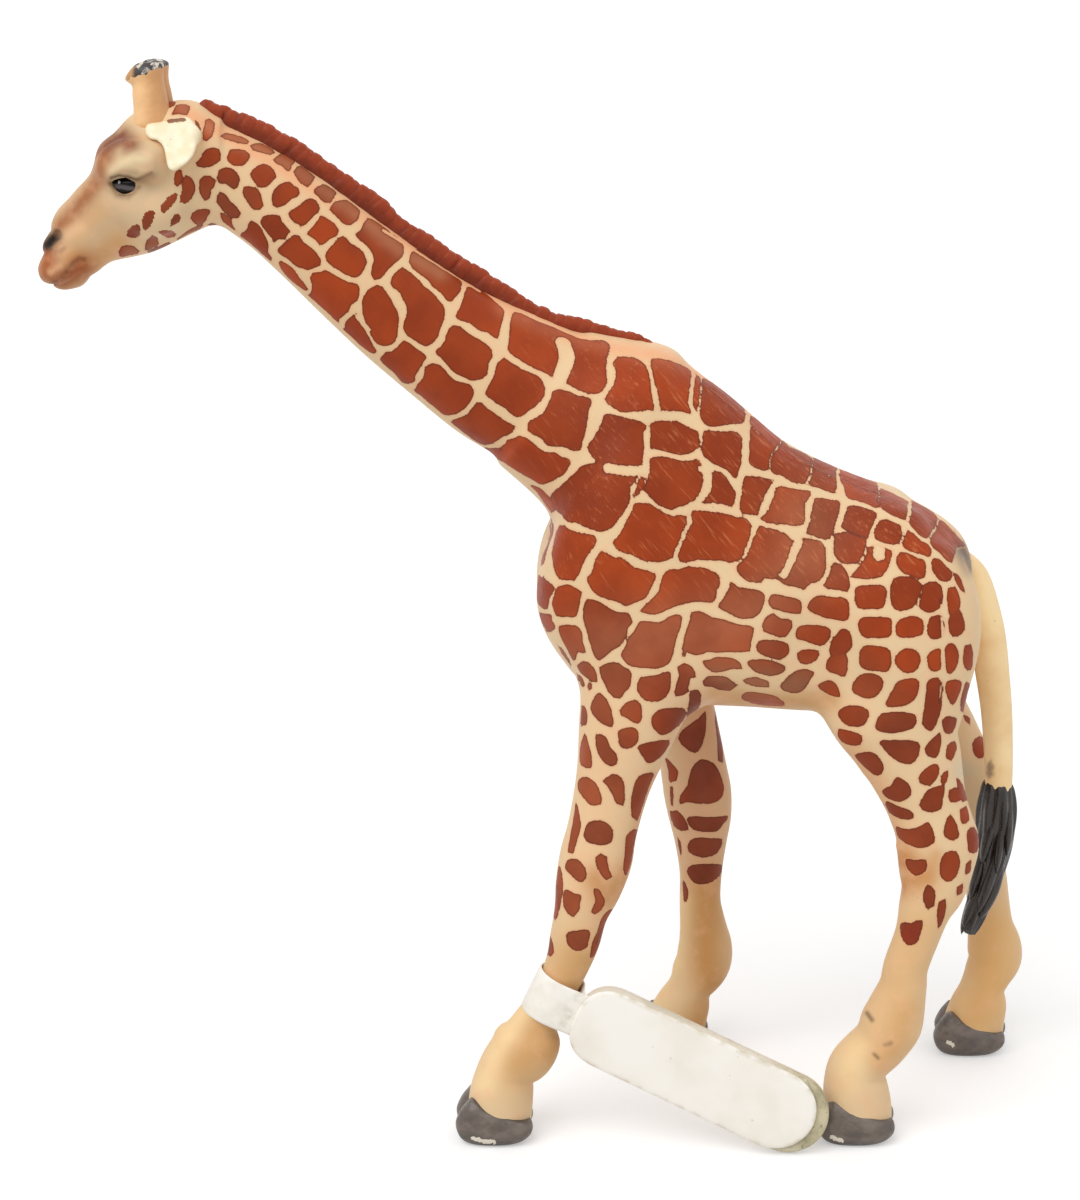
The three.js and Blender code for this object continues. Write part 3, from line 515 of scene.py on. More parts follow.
def saw_off(made, saws):
    """Saws a piece along planes of (a drawing place, the direction of the waste), each cut closed flat."""
    work = bmesh.new()
    work.from_mesh(made.data)
    for place, waste in saws:
        where = Vector((np.array(place, float) + drawing_zero) * MM)
        cut = bmesh.ops.bisect_plane(work, geom=work.verts[:] + work.edges[:] + work.faces[:],
                                     plane_co=where, plane_no=Vector(waste), clear_outer=True, dist=1e-8)
        edges = [e for e in cut["geom_cut"] if isinstance(e, bmesh.types.BMEdge) and e.is_boundary]
        bmesh.ops.edgeloop_fill(work, edges=edges)
        for e in edges:
            e.smooth = False
    work.to_mesh(made.data)
    work.free()


# Torso, neck, head and legs
# Each is moulded in hard plastic and sawn from the carving where the real figure's plugs meet,
# so the seams run on over the joints.
seam_z = 64.0
leg_foot_z = 2.6
leg_room, leg_inner, leg_outer = 14, 5, 21
torso_grain, neck_grain, head_grain, leg_grain = 0.40, 0.34, 0.20, 0.28
neck_seam = ((0.4, 0, 96.2), (18, 0, 120.7))
head_seam = ((-47.5, 0, 139.0), (-48.3, 0, 154.5))


def square_to(seam):
    """The direction square to a seam of the side view, pointing to the tail."""
    (low_x, _, low_z), (high_x, _, high_z) = seam
    way = Vector((high_z - low_z, 0, low_x - high_x))
    return way.normalized()


def moulded_piece(name, low, high, grain, saws):
    """What the carving holds within a block between two drawing places, sawn along its seams."""
    points, faces = cast(*carve(np.array(low) + drawing_zero, np.array(high) + drawing_zero, grain), grain)
    made = as_object(name, points, faces)
    saw_off(made, saws)
    return made


to_tail = square_to(neck_seam)
to_nape = square_to(head_seam)
leg_saws = [((0, 0, seam_z), (0, 0, 1)), ((0, 0, leg_foot_z), (0, 0, -1))]
coated = {
    "torso": moulded_piece("torso_moulding", (-8, -21, 61), (68, 21, 124), torso_grain,
                           [(neck_seam[0], -to_tail), ((0, 0, seam_z), (0, 0, -1))]),
    "neck": moulded_piece("neck_moulding", (-52, -15, 92), (22, 15, 158), neck_grain,
                          [(neck_seam[0], to_tail), (head_seam[0], -to_nape)]),
    "head": moulded_piece("head_moulding", (-78, -9, 128), (-45, 9, 160), head_grain,
                          [(head_seam[0], to_nape)])}
for leg_name, (hand, table) in leg_tables.items():
    rows = np.array(table)
    sides = sorted((hand * leg_inner, hand * leg_outer))
    leg_low = (rows[:, 1].min() - leg_room, sides[0], leg_foot_z - 2)
    leg_high = (rows[:, 1].max() + leg_room, sides[1], seam_z + 3)
    coated[leg_name] = moulded_piece(leg_name + "_moulding", leg_low, leg_high, leg_grain, leg_saws)

# The coat
# Brown patches are painted by hand over a sprayed cream ground, with a thin darker line round each.
# A mark is a patch's outline in the picture, point by point, and strokes part the marks.
# Each is laid on the body along the camera's lines of sight.
head_marks = """
163,101 166,101 176,102 174,106 169,108 164,107 / 172,115 173,110 177,105 185,104 190,106 190,110 187,115
179,114 / 195,120 198,122 201,128 200,135 199,138 197,133 195,127 / 205,120 210,119 215,123 214,130 212,137
207,141 203,140 202,133 204,127 / 220,136 224,133 232,134 242,137 250,142 247,144 237,143 227,140 /
197,166 196,163 199,160 202,154 207,149 213,147 219,149 221,157 220,161 213,166 205,168 / 227,157 229,150
233,149 245,150 250,155 249,161 242,166 235,166 228,161 / 177,170 181,169 183,175 181,183 177,187 174,184
174,178 / 186,175 191,177 195,185 195,191 191,199 185,204 180,202 180,197 182,190 182,182 / 203,176
211,176 216,180 214,187 211,190 210,198 205,201 202,198 199,188 199,181 / 219,170 223,168 231,168 237,173
240,180 238,187 234,190 230,187 225,184 219,184 217,178 / 175,193 178,194 177,198 173,205 167,211 164,214
161,212 160,207 164,202 168,197 / 152,210 155,212 154,218 150,227 145,231 142,227 142,220 145,213 /
137,224 140,225 140,235 136,238 130,238 126,236 128,230 132,226 / 178,213 181,217 179,222 174,225 170,227
171,220 174,215 / 190,218 192,213 197,210 207,209 211,210 208,217 204,223 200,227 194,223 / 177,239
187,231 197,226 204,224 200,229 188,234 178,240 / 158,232 163,230 173,231 176,234 174,237 168,238 162,235 /
152,235 157,237 159,243 157,247 152,248 145,251 145,246 147,240 / 147,251 157,247 169,242 171,245 160,250
150,254 / 121,246 127,245 135,247 139,251 137,254 130,255 122,257 119,256 119,251 / 207,225 212,223 218,224
213,226 / 216,202 217,196 220,192 225,193 230,201 237,207 241,213 239,218 232,218 224,212 219,206 /
220,212 223,213 228,216 232,219 232,224 236,231 230,227 223,222 221,218
"""
neck_marks = """
251,220 258,224 263,231 266,238 269,247 268,252 272,258 271,261 260,252 250,243 240,235 246,230 248,225 /
260,222 262,217 267,215 272,214 280,216 282,221 287,227 291,232 287,235 286,239 278,240 273,243 272,238
267,233 263,228 / 242,193 244,187 249,186 256,187 260,192 262,200 264,206 260,210 254,210 249,205 245,198 /
250,175 252,170 257,166 263,164 269,165 274,170 277,176 272,182 267,187 258,187 254,182 / 272,200 273,192
276,187 282,183 290,182 294,186 298,187 300,193 297,197 292,199 285,205 278,208 273,206 / 288,214 290,211
297,207 305,200 310,198 316,200 320,208 319,212 315,215 310,220 305,225 300,228 300,225 294,223 291,220 /
306,234 310,229 315,224 319,218 321,215 327,218 334,223 339,231 337,236 330,239 325,244 320,246 317,242
311,237 / 277,251 282,245 288,239 293,235 299,235 303,242 310,247 317,253 321,261 320,266 315,268 307,270
300,268 293,264 287,258 282,256 / 281,260 283,262 289,265 295,271 300,278 305,284 308,289 306,291 301,288
293,282 285,274 280,267 279,263 / 310,277 312,285 311,293 308,295 317,303 327,312 339,323 340,319 348,312
351,305 357,301 360,292 358,284 350,282 342,279 333,274 326,270 319,272 313,273 / 325,256 327,251 333,244
338,238 343,236 348,239 350,243 357,247 363,252 367,262 365,269 358,277 350,277 343,273 337,269 328,263 /
273,160 276,157 280,154 283,152 292,158 295,162 292,166 290,171 287,171 283,167 277,164 / 250,146 257,143
265,145 272,149 275,153 270,155 260,152 252,150 / 293,172 297,167 301,166 308,171 315,177 313,182 307,187
301,184 296,177 / 313,191 317,187 323,184 328,186 337,193 333,199 330,203 325,203 318,197 / 329,209 333,203
342,200 347,200 355,206 360,212 357,220 351,225 345,225 338,218 / 355,234 360,230 364,223 367,218 378,223
390,232 400,240 404,248 402,257 393,265 387,271 382,277 374,280 371,275 372,267 374,260 370,250 365,244
357,238 / 372,287 377,285 383,287 387,293 392,301 397,310 399,318 397,337 392,344 383,346 377,344 372,337
368,330 364,318 362,312 362,303 364,295 368,290 / 357,313 350,317 345,323 345,327 343,329 352,337 360,345
368,351 375,354 377,351 372,343 367,333 364,327 361,322 357,317 / 390,283 392,277 397,271 402,267 410,272
417,278 425,287 433,293 443,305 445,313 442,325 439,333 438,337 433,343 426,347 420,344 412,339 405,333
403,325 406,317 407,308 403,300 400,293 393,288 / 409,262 411,253 415,249 425,253 435,260 445,267 455,275
462,283 461,290 455,298 452,302 447,301 442,294 433,287 427,279 418,273 412,268 / 435,353 440,347 445,340
447,332 453,325 460,326 468,333 477,338 485,343 492,350 493,357 489,363 487,375 478,380 470,380 463,377
453,372 447,365 440,357 / 455,316 460,307 463,298 467,287 473,286 478,288 485,293 493,300 502,308 504,312
503,320 500,330 498,339 495,338 488,333 478,330 470,323 458,320 / 380,359 386,352 392,351 397,347 404,340
410,343 415,348 422,352 427,358 423,363 418,371 415,377 415,381 408,384 402,382 395,374 387,367 / 414,390
420,382 424,375 425,367 432,363 440,365 445,370 452,378 460,382 470,384 474,390 473,397 468,405 460,412
452,415 444,415 437,409 428,402 420,395 / 451,422 458,418 467,414 472,408 477,402 482,403 487,408 497,415
507,422 516,427 512,433 503,437 493,443 485,445 477,442 467,435 458,428 / 485,394 488,387 493,378 495,370
498,362 503,357 512,363 522,369 532,373 540,378 545,387 545,393 542,400 533,408 527,412 521,417 517,418
512,415 503,407 493,401 / 512,314 520,313 537,321 553,327 570,335 587,340 605,341 610,348 607,358 606,370
607,382 602,392 593,394 582,392 572,387 563,381 558,378 552,378 545,373 533,368 520,360 512,355 508,350
509,340 510,328 / 527,424 533,419 543,413 547,405 551,398 552,392 560,389 567,391 577,395 587,397 592,400
590,408 588,415 587,425 585,435 582,442 581,450 573,451 562,447 548,446 543,440 537,436 528,431 / 483,448
493,448 499,448 505,444 507,440 513,438 520,436 525,437 533,443 545,452 555,452 562,457 571,461 565,473
556,479 543,485 535,481 520,473 505,463 493,455 / 530,485 538,493 547,507 552,513 556,510 555,505 550,498
540,488
"""
shoulder_marks = """
617,357 630,357 638,359 647,367 650,380 652,395 654,411 647,410 640,412 630,412 620,412 613,407 608,405
605,400 607,394 612,387 615,380 616,372 613,363 / 652,359 663,359 673,362 683,366 691,371 691,380 689,393
688,403 692,414 683,412 672,411 661,411 659,402 657,392 654,380 651,368 / 696,374 701,379 700,388 699,400
697,412 694,408 693,400 694,387 / 702,379 710,381 718,385 730,395 740,403 745,412 744,422 740,424 730,424
722,426 712,427 705,424 700,417 701,402 702,390 / 704,431 713,431 723,431 732,431 738,433 742,438 742,450
741,463 737,478 734,478 727,470 720,467 713,463 707,459 702,453 702,443 / 651,423 660,421 670,421 677,420
683,424 690,428 698,432 699,440 699,447 695,451 687,454 677,455 667,452 657,450 650,449 650,437 /
606,414 623,417 642,422 647,425 644,433 644,447 643,462 640,474 637,478 631,487 630,498 627,507 620,518
613,527 603,532 587,528 577,523 567,522 562,515 553,507 550,497 558,488 567,480 575,472 582,466 592,463
597,462 592,457 587,447 593,438 597,432 602,422 / 650,458 657,456 667,457 677,460 688,461 697,459 701,463
702,469 703,477 703,485 700,493 695,500 688,504 680,507 672,510 663,507 655,502 648,495 643,490 647,480
650,472 / 715,470 720,472 727,478 732,487 736,493 735,500 732,507 723,505 713,503 705,504 698,500 702,495
707,490 710,485 712,478 712,473 / 642,477 645,475 644,485 640,493 634,498 635,490 638,482 / 635,503 650,504
663,512 672,516 680,515 687,515 687,522 683,530 680,540 675,550 673,558 668,560 660,562 650,562 643,561
637,557 628,554 618,550 612,542 617,537 623,527 628,518 632,510 / 692,511 700,510 710,512 718,512 730,515
738,517 747,519 752,525 751,532 748,542 745,550 742,558 737,562 730,563 722,561 710,561 700,560 690,562
680,562 677,557 680,550 683,542 687,532 692,522 / 559,526 565,525 568,528 577,532 587,534 595,535 597,540
595,545 590,552 585,560 582,567 580,573 574,581 567,580 559,579 555,573 553,563 552,552 554,542 556,532 /
601,551 605,552 613,557 622,557 628,562 637,568 647,570 657,575 654,582 651,588 647,597 638,602 632,604
626,607 620,603 610,600 600,597 593,592 588,583 587,578 592,573 594,563 597,557 / 665,572 673,569 683,568
688,566 697,567 707,568 715,572 720,578 721,583 717,590 717,597 712,603 703,602 693,602 685,604 675,607
667,610 657,615 647,614 639,611 643,607 650,600 658,591 661,580 / 718,607 722,600 725,595 729,588 730,582
733,582 738,587 748,588 764,593 763,607 755,617 742,619 728,613 / 587,599 595,600 603,604 610,608 618,612
628,612 631,617 633,623 628,628 626,637 621,645 613,650 605,657 599,661 595,657 592,650 589,640 586,630
583,617 584,607 / 639,622 647,621 660,622 668,617 677,614 682,615 681,627 678,633 676,643 673,653 670,662
663,667 653,669 643,668 635,667 627,664 622,658 621,655 625,647 628,638 634,632 / 691,612 698,611 705,613
713,617 722,619 730,622 742,625 754,627 754,633 751,642 750,651 742,652 730,652 717,653 707,652 697,656
687,652 685,657 681,657 682,650 683,642 686,630 690,620 / 537,575 543,577 548,581 553,585 555,588 552,595
549,600 548,609 543,609 538,603 536,597 535,585 / 557,587 563,585 571,585 578,589 582,592 580,600 579,608
576,617 568,617 562,617 556,616 553,607 552,603 554,595 / 539,612 547,614 552,615 552,620 555,625 555,629
548,632 543,625 540,617 / 559,626 568,625 577,626 582,632 583,642 586,653 578,652 576,660 573,661 570,655
566,647 562,640 559,632 / 557,644 562,648 568,657 572,667 570,665 563,655 / 583,661 588,662 594,668 597,675
597,682 593,682 587,678 580,672 577,666 / 577,672 582,677 585,685 583,688 580,682 577,677 / 589,682 592,683
592,688 589,691 587,687 / 599,667 605,664 613,662 620,663 624,667 631,672 631,685 625,692 620,699 613,697
608,692 605,685 601,677 / 640,677 650,676 658,675 663,672 670,671 671,680 671,687 668,694 662,700 652,702
642,698 637,690 637,683 / 677,667 686,663 692,667 695,672 696,678 690,678 689,685 687,693 680,696 675,697
674,692 677,683 679,675 / 549,516 553,522 554,530 551,540 547,552 544,563 541,567 542,557 547,545 550,533
549,523
"""
back_marks = """
750,416 756,417 764,424 772,432 781,440 776,448 771,455 768,470 760,469 752,466 749,463 749,448 750,432 /
783,441 790,447 798,450 806,454 812,458 811,468 809,476 804,484 796,483 788,480 780,475 774,475 771,471
770,462 773,454 778,448 / 815,458 822,460 830,463 837,466 836,476 836,493 828,492 818,488 808,485 811,478
812,468 / 840,469 844,471 850,471 862,475 872,478 877,483 878,492 878,508 868,505 858,501 847,498 844,487
840,480 / 881,488 887,488 896,492 906,496 908,501 907,512 906,520 898,518 888,513 880,507 879,498 /
912,500 920,503 930,509 937,517 936,526 931,532 927,539 922,537 914,530 909,522 911,514 / 939,520 946,524
954,532 960,539 966,546 956,548 955,553 952,563 947,561 938,552 930,544 930,538 936,530 / 745,475 752,476
760,477 770,479 774,480 769,488 764,498 760,507 758,516 751,515 742,514 739,508 741,498 742,486 / 775,488
782,486 790,488 802,490 811,491 810,498 806,502 805,512 804,524 796,526 788,525 776,524 766,523 760,519
767,512 770,504 774,496 / 814,499 822,498 832,500 841,502 839,512 836,522 834,530 830,539 822,539 814,536
806,533 808,526 811,516 812,506 / 848,506 856,506 866,508 877,514 874,522 871,530 868,537 860,537 850,532
841,527 843,520 846,512 / 880,520 886,519 896,523 901,525 902,534 900,543 894,545 884,543 876,539 873,533
876,526 / 908,530 914,534 922,542 928,544 932,552 930,557 922,555 912,552 903,548 902,543 905,537 / 933,558
940,559 948,568 952,572 951,580 946,582 939,580 933,572 931,564 / 759,526 768,528 778,530 786,534 792,540
794,542 790,550 787,562 784,570 778,574 776,579 764,579 762,583 752,582 744,579 737,571 736,566 744,560
748,552 752,542 756,532 / 802,538 810,539 820,541 825,548 826,560 826,568 824,576 818,582 810,584 804,590
800,588 790,586 782,584 777,578 779,573 786,575 790,566 794,554 799,544 / 835,534 842,532 850,532 860,536
867,538 865,548 862,558 858,563 848,564 840,562 835,556 833,546 / 833,562 840,564 846,570 849,578 850,586
848,592 838,590 828,589 822,586 826,580 830,572 / 868,547 878,546 888,549 892,550 891,558 888,568 882,576
870,579 860,579 851,577 856,570 862,562 866,554 / 900,552 908,553 918,558 925,561 926,568 925,578 918,579
910,576 902,572 897,566 896,558 / 891,582 903,576 917,579 922,584 919,598 912,608 900,611 891,605 /
855,588 869,585 885,586 886,598 883,608 869,609 857,607 / 924,584 938,582 943,593 941,607 928,613 919,607
921,595 / 948,588 955,586 960,598 959,610 950,616 947,603 / 953,573 958,574 962,582 965,593 960,590 955,580
"""
belly_marks = """
702,661 710,660 717,657 727,657 735,659 741,664 742,669 732,669 722,672 712,672 705,667 / 702,681 707,677
717,676 727,677 732,681 738,685 735,687 730,691 720,690 712,687 704,686 / 741,698 747,692 762,693 778,697
785,705 773,706 755,704 / 771,595 786,596 800,600 802,608 801,614 795,614 780,611 769,606 / 807,607 816,596
831,597 847,599 848,619 835,620 817,615 / 764,620 773,613 780,618 792,620 793,625 785,637 769,634 762,629 /
798,627 814,625 831,629 828,641 820,646 804,641 796,638 / 842,629 850,632 852,648 842,654 830,656 830,644
835,636 / 759,641 773,640 788,644 789,653 780,660 766,656 756,651 / 797,653 807,649 819,651 817,660 811,664
800,663 / 830,656 845,653 848,665 845,677 835,674 826,669 / 747,662 759,659 780,663 786,670 773,676
755,672 / 743,680 755,677 769,682 769,687 752,686 / 780,687 790,675 802,669 814,672 811,679 802,691
790,693 / 817,686 828,680 836,684 840,697 828,694
"""
haunch_marks = """
859,619 876,617 891,619 891,634 883,638 862,636 / 897,622 910,616 923,620 922,634 910,638 897,636 / 929,619
941,615 945,627 941,638 931,639 927,631 / 950,615 959,608 965,624 962,634 952,637 948,627 / 860,651 869,645
890,650 889,670 876,671 861,667 / 896,656 905,648 917,651 921,662 914,672 903,672 896,665 / 929,653 940,648
941,669 931,671 927,662 / 945,648 953,643 959,655 955,670 947,673 / 964,646 971,644 973,656 971,670
964,667 / 852,686 860,675 876,674 884,682 879,694 869,699 855,694 / 885,705 893,689 898,681 912,678 919,681
917,696 907,705 893,707 / 928,680 941,679 943,696 938,720 931,731 922,724 924,708 926,693 / 946,682 960,680
961,689 953,705 947,696 / 838,713 850,705 869,710 867,722 859,727 845,724 / 875,727 881,714 900,712 916,715
914,727 897,733 881,732 / 942,720 950,716 957,718 953,732 945,733 / 966,681 970,684 967,700
963,713 960,706 962,694 / 963,715 970,718 970,725 965,721
"""
near_foreleg_marks = """
582,705 587,711 586,725 581,727 / 591,705 597,693 604,696 611,708 613,718 612,727 601,723 592,713 /
619,711 626,703 636,700 641,706 642,718 637,724 626,718 621,716 / 652,716 659,710 672,708 685,709 685,718
677,727 665,735 656,732 652,725 / 619,730 632,727 638,730 638,741 632,748 621,748 618,739 / 596,734 606,737
611,748 617,754 617,764 609,766 601,759 596,746 / 585,733 589,746 592,758 591,768 581,765 580,749 / 637,748
645,743 669,740 664,753 655,761 647,763 641,754 / 579,779 587,777 596,783 601,794 601,804 591,805 582,796
578,788 / 602,781 612,774 622,778 625,791 623,806 617,804 612,794 607,786 / 632,793 639,776 654,773 649,786
644,802 637,821 632,817 631,806 / 576,802 579,812 581,826 577,842 573,854 568,852 571,832 574,816 / 585,829
589,822 601,820 611,826 613,834 611,843 599,845 587,842 583,836 / 626,836 634,829 637,830 634,846 631,862
626,876 623,869 625,852 / 565,869 568,860 577,859 586,869 586,879 579,882 571,875 / 595,857 601,853 607,857
609,869 612,877 606,880 599,872 596,865 / 559,865 563,879 563,892 559,912 555,921 553,915 555,892 / 565,889
573,893 581,895 579,909 574,917 568,914 563,904 / 594,888 599,889 605,900 602,909 594,915 591,912 595,902 /
566,935 573,931 589,930 589,940 586,948 576,951 568,945 / 549,935 553,943 554,952 551,957 545,954 546,945 /
601,919 606,912 613,909 607,925 601,940 594,957 590,958 592,943 597,932
"""
far_foreleg_marks = """
690,691 699,690 701,700 697,711 689,721 687,713 689,703 / 680,733 689,725 699,718 705,711 706,726 702,746
695,753 685,748 678,739 / 715,706 718,726 722,743 723,763 718,761 717,739 715,723 / 665,757 672,763 678,771
676,781 670,783 668,769 / 680,796 687,786 692,768 702,759 713,763 720,774 724,789 718,801 702,804 687,802
680,804 / 670,786 673,786 673,806 671,806 / 670,811 677,810 685,819 689,830 682,831 674,826 / 687,819
695,816 709,817 728,816 723,824 717,831 705,832 692,829 / 688,844 694,838 712,838 722,839 720,849 712,856
699,857 689,852 / 687,872 692,865 709,864 723,865 720,875 709,883 695,883 / 677,836 681,842 681,857 /
683,880 688,889 687,902 684,902
"""
near_hind_leg_marks = """
838,729 850,731 862,736 860,745 846,744 839,738 / 880,741 899,740 918,742 919,755 911,764 897,761 884,750 /
925,748 933,738 940,732 941,746 936,758 928,756 / 947,746 954,741 957,748 951,761 946,758 / 855,755 871,752
880,758 884,769 878,776 867,769 / 918,778 928,766 938,764 939,774 930,786 920,783 / 941,776 948,770 947,782
942,786 / 882,790 891,786 897,777 909,784 911,795 899,802 886,797 / 919,805 928,790 939,786 945,783 943,799
941,809 928,812 / 949,790 960,788 962,799 950,802 / 886,801 899,806 911,811 914,818 901,819 888,811 /
896,826 905,829 916,828 928,822 933,832 934,843 920,848 905,843 897,835 / 943,832 947,818 951,814 958,828
959,837 954,841 945,837 / 960,809 966,806 969,820 962,824 / 967,832 974,827 980,841 977,851 969,853 /
906,859 916,860 926,859 926,870 916,876 907,868 / 940,864 945,853 956,851 960,862 956,877 947,882 940,875 /
966,864 971,859 970,872 965,875 / 923,893 928,884 935,891 934,906 928,910 924,902 / 957,887 963,883 962,893
957,896 / 939,902 945,899 946,910 941,925 938,929 937,915 / 901,923 911,923 922,920 921,933 916,944 907,945
901,936
"""
far_hind_leg_marks = """
960,738 967,744 964,757 957,761 / 972,744 979,736 985,742 983,758 975,756 / 956,778 962,784 968,800 962,802
"""
cream_slits = [
    ([(563, 343), (567, 358), (563, 370), (560, 378)], 1.15), ([(645, 470), (628, 471), (608, 468)], 0.7),
    ([(799, 541), (793, 556), (784, 575)], 0.55), ([(358, 317), (368, 329)], 0.4),
    ([(697, 503), (707, 490), (709, 477), (707, 470), (701, 469)], 0.5), ([(879, 551), (879, 555)], 0.9),
    ([(384, 231), (405, 244), (428, 259), (451, 273.5), (479, 291)], 0.33),
    ([(941, 600), (942, 650), (940, 702)], 0.14)]
mark_step_px = 5.0
wrap_mm, grazing_from = 2.2, 0.34
body_away_mm, depth_room_mm, depth_share = 360.0, 3.5, 0.55
mark_px_per_mm = 6.8
dice_seed = 7
dice = np.random.default_rng(dice_seed)
sway_waves = [(dice.normal(size=3) * 0.16, dice.uniform(0, 6.28), dice.normal(size=3)) for _ in range(10)]


def marks_in(text):
    """The outlines of a table of marks, as points of the picture."""
    return [np.array([[float(v) for v in point.split(",")] for point in mark.split()])
            for mark in text.split("/")]


def closed_curve(points, step):
    """A smooth closed line through the points, with a point about every step."""
    made = []
    for i in range(len(points)):
        a, b, c, d = (points[(i + k) % len(points)] for k in (-1, 0, 1, 2))
        made += between(a, b, c, d, max(1, int(round(np.linalg.norm(c - b) / step))))
    return np.array(made)


def lay_on_body(outline):
    """The picture outline as places on the body, running on past the edge that the camera sees."""
    rays = [sight_line(*p) for p in outline]
    hits = [rough_body.ray_cast(Vector(camera_place), Vector(ray)) for ray in rays]
    depths = [hit[3] for hit in hits if hit[0] is not None]
    usual = np.median(depths) if depths else body_away_mm
    size_mm = np.ptp(outline, axis=0).max() / mark_px_per_mm
    places = []
    for ray, hit in zip(rays, hits):
        if hit[0] is not None and abs(hit[3] - usual) < depth_room_mm + depth_share * size_mm:
            place, normal = np.array(hit[0]), np.array(hit[1])
        else:
            place, normal = nearest_on_body(camera_place + ray * usual)
            reach = (place - camera_place) @ ray
            place, normal = nearest_on_body(camera_place + ray * reach)
        if normal @ ray > 0:
            normal = -normal
        grazing = max(0.0, 1 + (normal @ ray) / grazing_from)
        if grazing > 0:
            place = nearest_on_body(place + ray * wrap_mm * grazing)[0]
        places.append(place)
    return np.array(places)


def sway(places, amount):
    """A smooth random shift of places, the same for all of them."""
    shift = np.zeros_like(places)
    for wave, phase, way in sway_waves:
        shift += np.sin(places @ wave + phase)[:, None] * way
    return places + shift * (np.asarray(amount) / math.sqrt(len(sway_waves)))[:, None]


def leg_middle(name, z):
    """The middle of a leg at that height, as x and y in the row's frame."""
    hand, table = leg_tables[name]
    rows = np.array(table)[::-1]
    x = np.interp(z, rows[:, 0], rows[:, 1]) + drawing_zero[0]
    return x, mid_y + hand * np.interp(z, rows[:, 0], rows[:, 3])


def settle(places):
    return np.array([nearest_on_body(p)[0] for p in places])


patches = []


def add_patch(places, side, shade, seen=None):
    """Keeps a patch for painting. side says which side takes it, and seen is its outline in the picture."""
    middle = places.mean(0)
    _, _, axes = np.linalg.svd(places - middle)
    patches.append((places, middle, axes, side, shade, seen))


def far_twin(places):
    """The patch's twin on the far side of the body, moved about a little away from the middle."""
    twin = places * (1, -1, 1) + (0, 2 * mid_y, 0)
    away = np.abs(twin[:, 1] - mid_y)
    twin = sway(twin, 2.4 * np.clip((away - 2) / 8, 0, 1))
    low = np.clip((84 - twin[:, 2]) / 18, 0, 1)
    front = np.clip((40 - twin[:, 0]) / 15, 0, 1)
    step = 7.0 * front + 3.5 * (1 - front)
    twin[:, 0] += low * step * np.clip(away / 8, 0, 1)
    return settle(twin)


def across_leg(places, name, amount):
    """The patch's twin on the other side of the same leg."""
    _, leg_y = leg_middle(name, places[:, 2])
    twin = places.copy()
    twin[:, 1] = 2 * leg_y - twin[:, 1]
    return settle(sway(twin, np.full(len(twin), amount)))


def on_other_leg(places, name, other):
    """The patch moved to the same place on another leg's other side."""
    x, y = leg_middle(name, places[:, 2])
    other_x, other_y = leg_middle(other, places[:, 2])
    moved = places.copy()
    moved[:, 0] += other_x - x
    moved[:, 1] = other_y - (moved[:, 1] - y)
    return settle(moved)


leg_marks = {"left_foreleg": near_foreleg_marks, "right_foreleg": far_foreleg_marks,
             "left_hind_leg": near_hind_leg_marks, "right_hind_leg": far_hind_leg_marks}
for text in (head_marks, neck_marks, shoulder_marks, back_marks, belly_marks, haunch_marks):
    for mark in marks_in(text):
        seen = closed_curve(mark, mark_step_px)
        places = lay_on_body(seen)
        add_patch(places, "near", dice.uniform(), seen)
        add_patch(far_twin(places), "far", dice.uniform())
for leg_name, text in leg_marks.items():
    for mark in marks_in(text):
        seen = closed_curve(mark, mark_step_px)
        places = lay_on_body(seen)
        add_patch(places, "any", dice.uniform(), seen)
        if places[:, 2].mean() < seam_z + 4:
            add_patch(across_leg(places, leg_name, 0.9), "any", dice.uniform())
        if leg_name == "left_hind_leg":
            moved = on_other_leg(places, leg_name, "right_hind_leg")
            add_patch(moved, "away", dice.uniform())
            add_patch(across_leg(moved, "right_hind_leg", 0.9), "away", dice.uniform())

slits = []
for points, half in cream_slits:
    line = [np.array(rough_body.ray_cast(Vector(camera_place), Vector(sight_line(*p)))[0])
            for p in soft_curve(points, 4)]
    slits.append((np.array(line), half))


def to_line(points, line, closed):
    """Distance from each point to a line through places."""
    ends = np.roll(line, -1, axis=0) if closed else line[1:]
    starts = line if closed else line[:-1]
    best = np.full(len(points), 1e9)
    for start, end in zip(starts, ends):
        way = end - start
        t = np.clip((points - start) @ way / max(way @ way, 1e-9), 0, 1)
        gap = points - start - t[:, None] * way
        best = np.minimum(best, np.einsum("ij,ij->i", gap, gap))
    return np.sqrt(best)


def inside_outline(flat, outline):
    """True for the flat points that lie within a closed flat outline."""
    inside = np.zeros(len(flat), bool)
    following = np.roll(outline, -1, axis=0)
    for (ax, ay), (bx, by) in zip(outline, following):
        crosses = (ay > flat[:, 1]) != (by > flat[:, 1])
        if ay != by:
            inside ^= crosses & (flat[:, 0] < (bx - ax) * (flat[:, 1] - ay) / (by - ay) + ax)
    return inside


patch_reach_mm, patch_level_mm, slit_reach_mm = 2.0, 5.5, 12.0
near_facing, far_facing, clear_facing = -0.30, 0.02, 0.03
near_hind_leg_from_px = 955


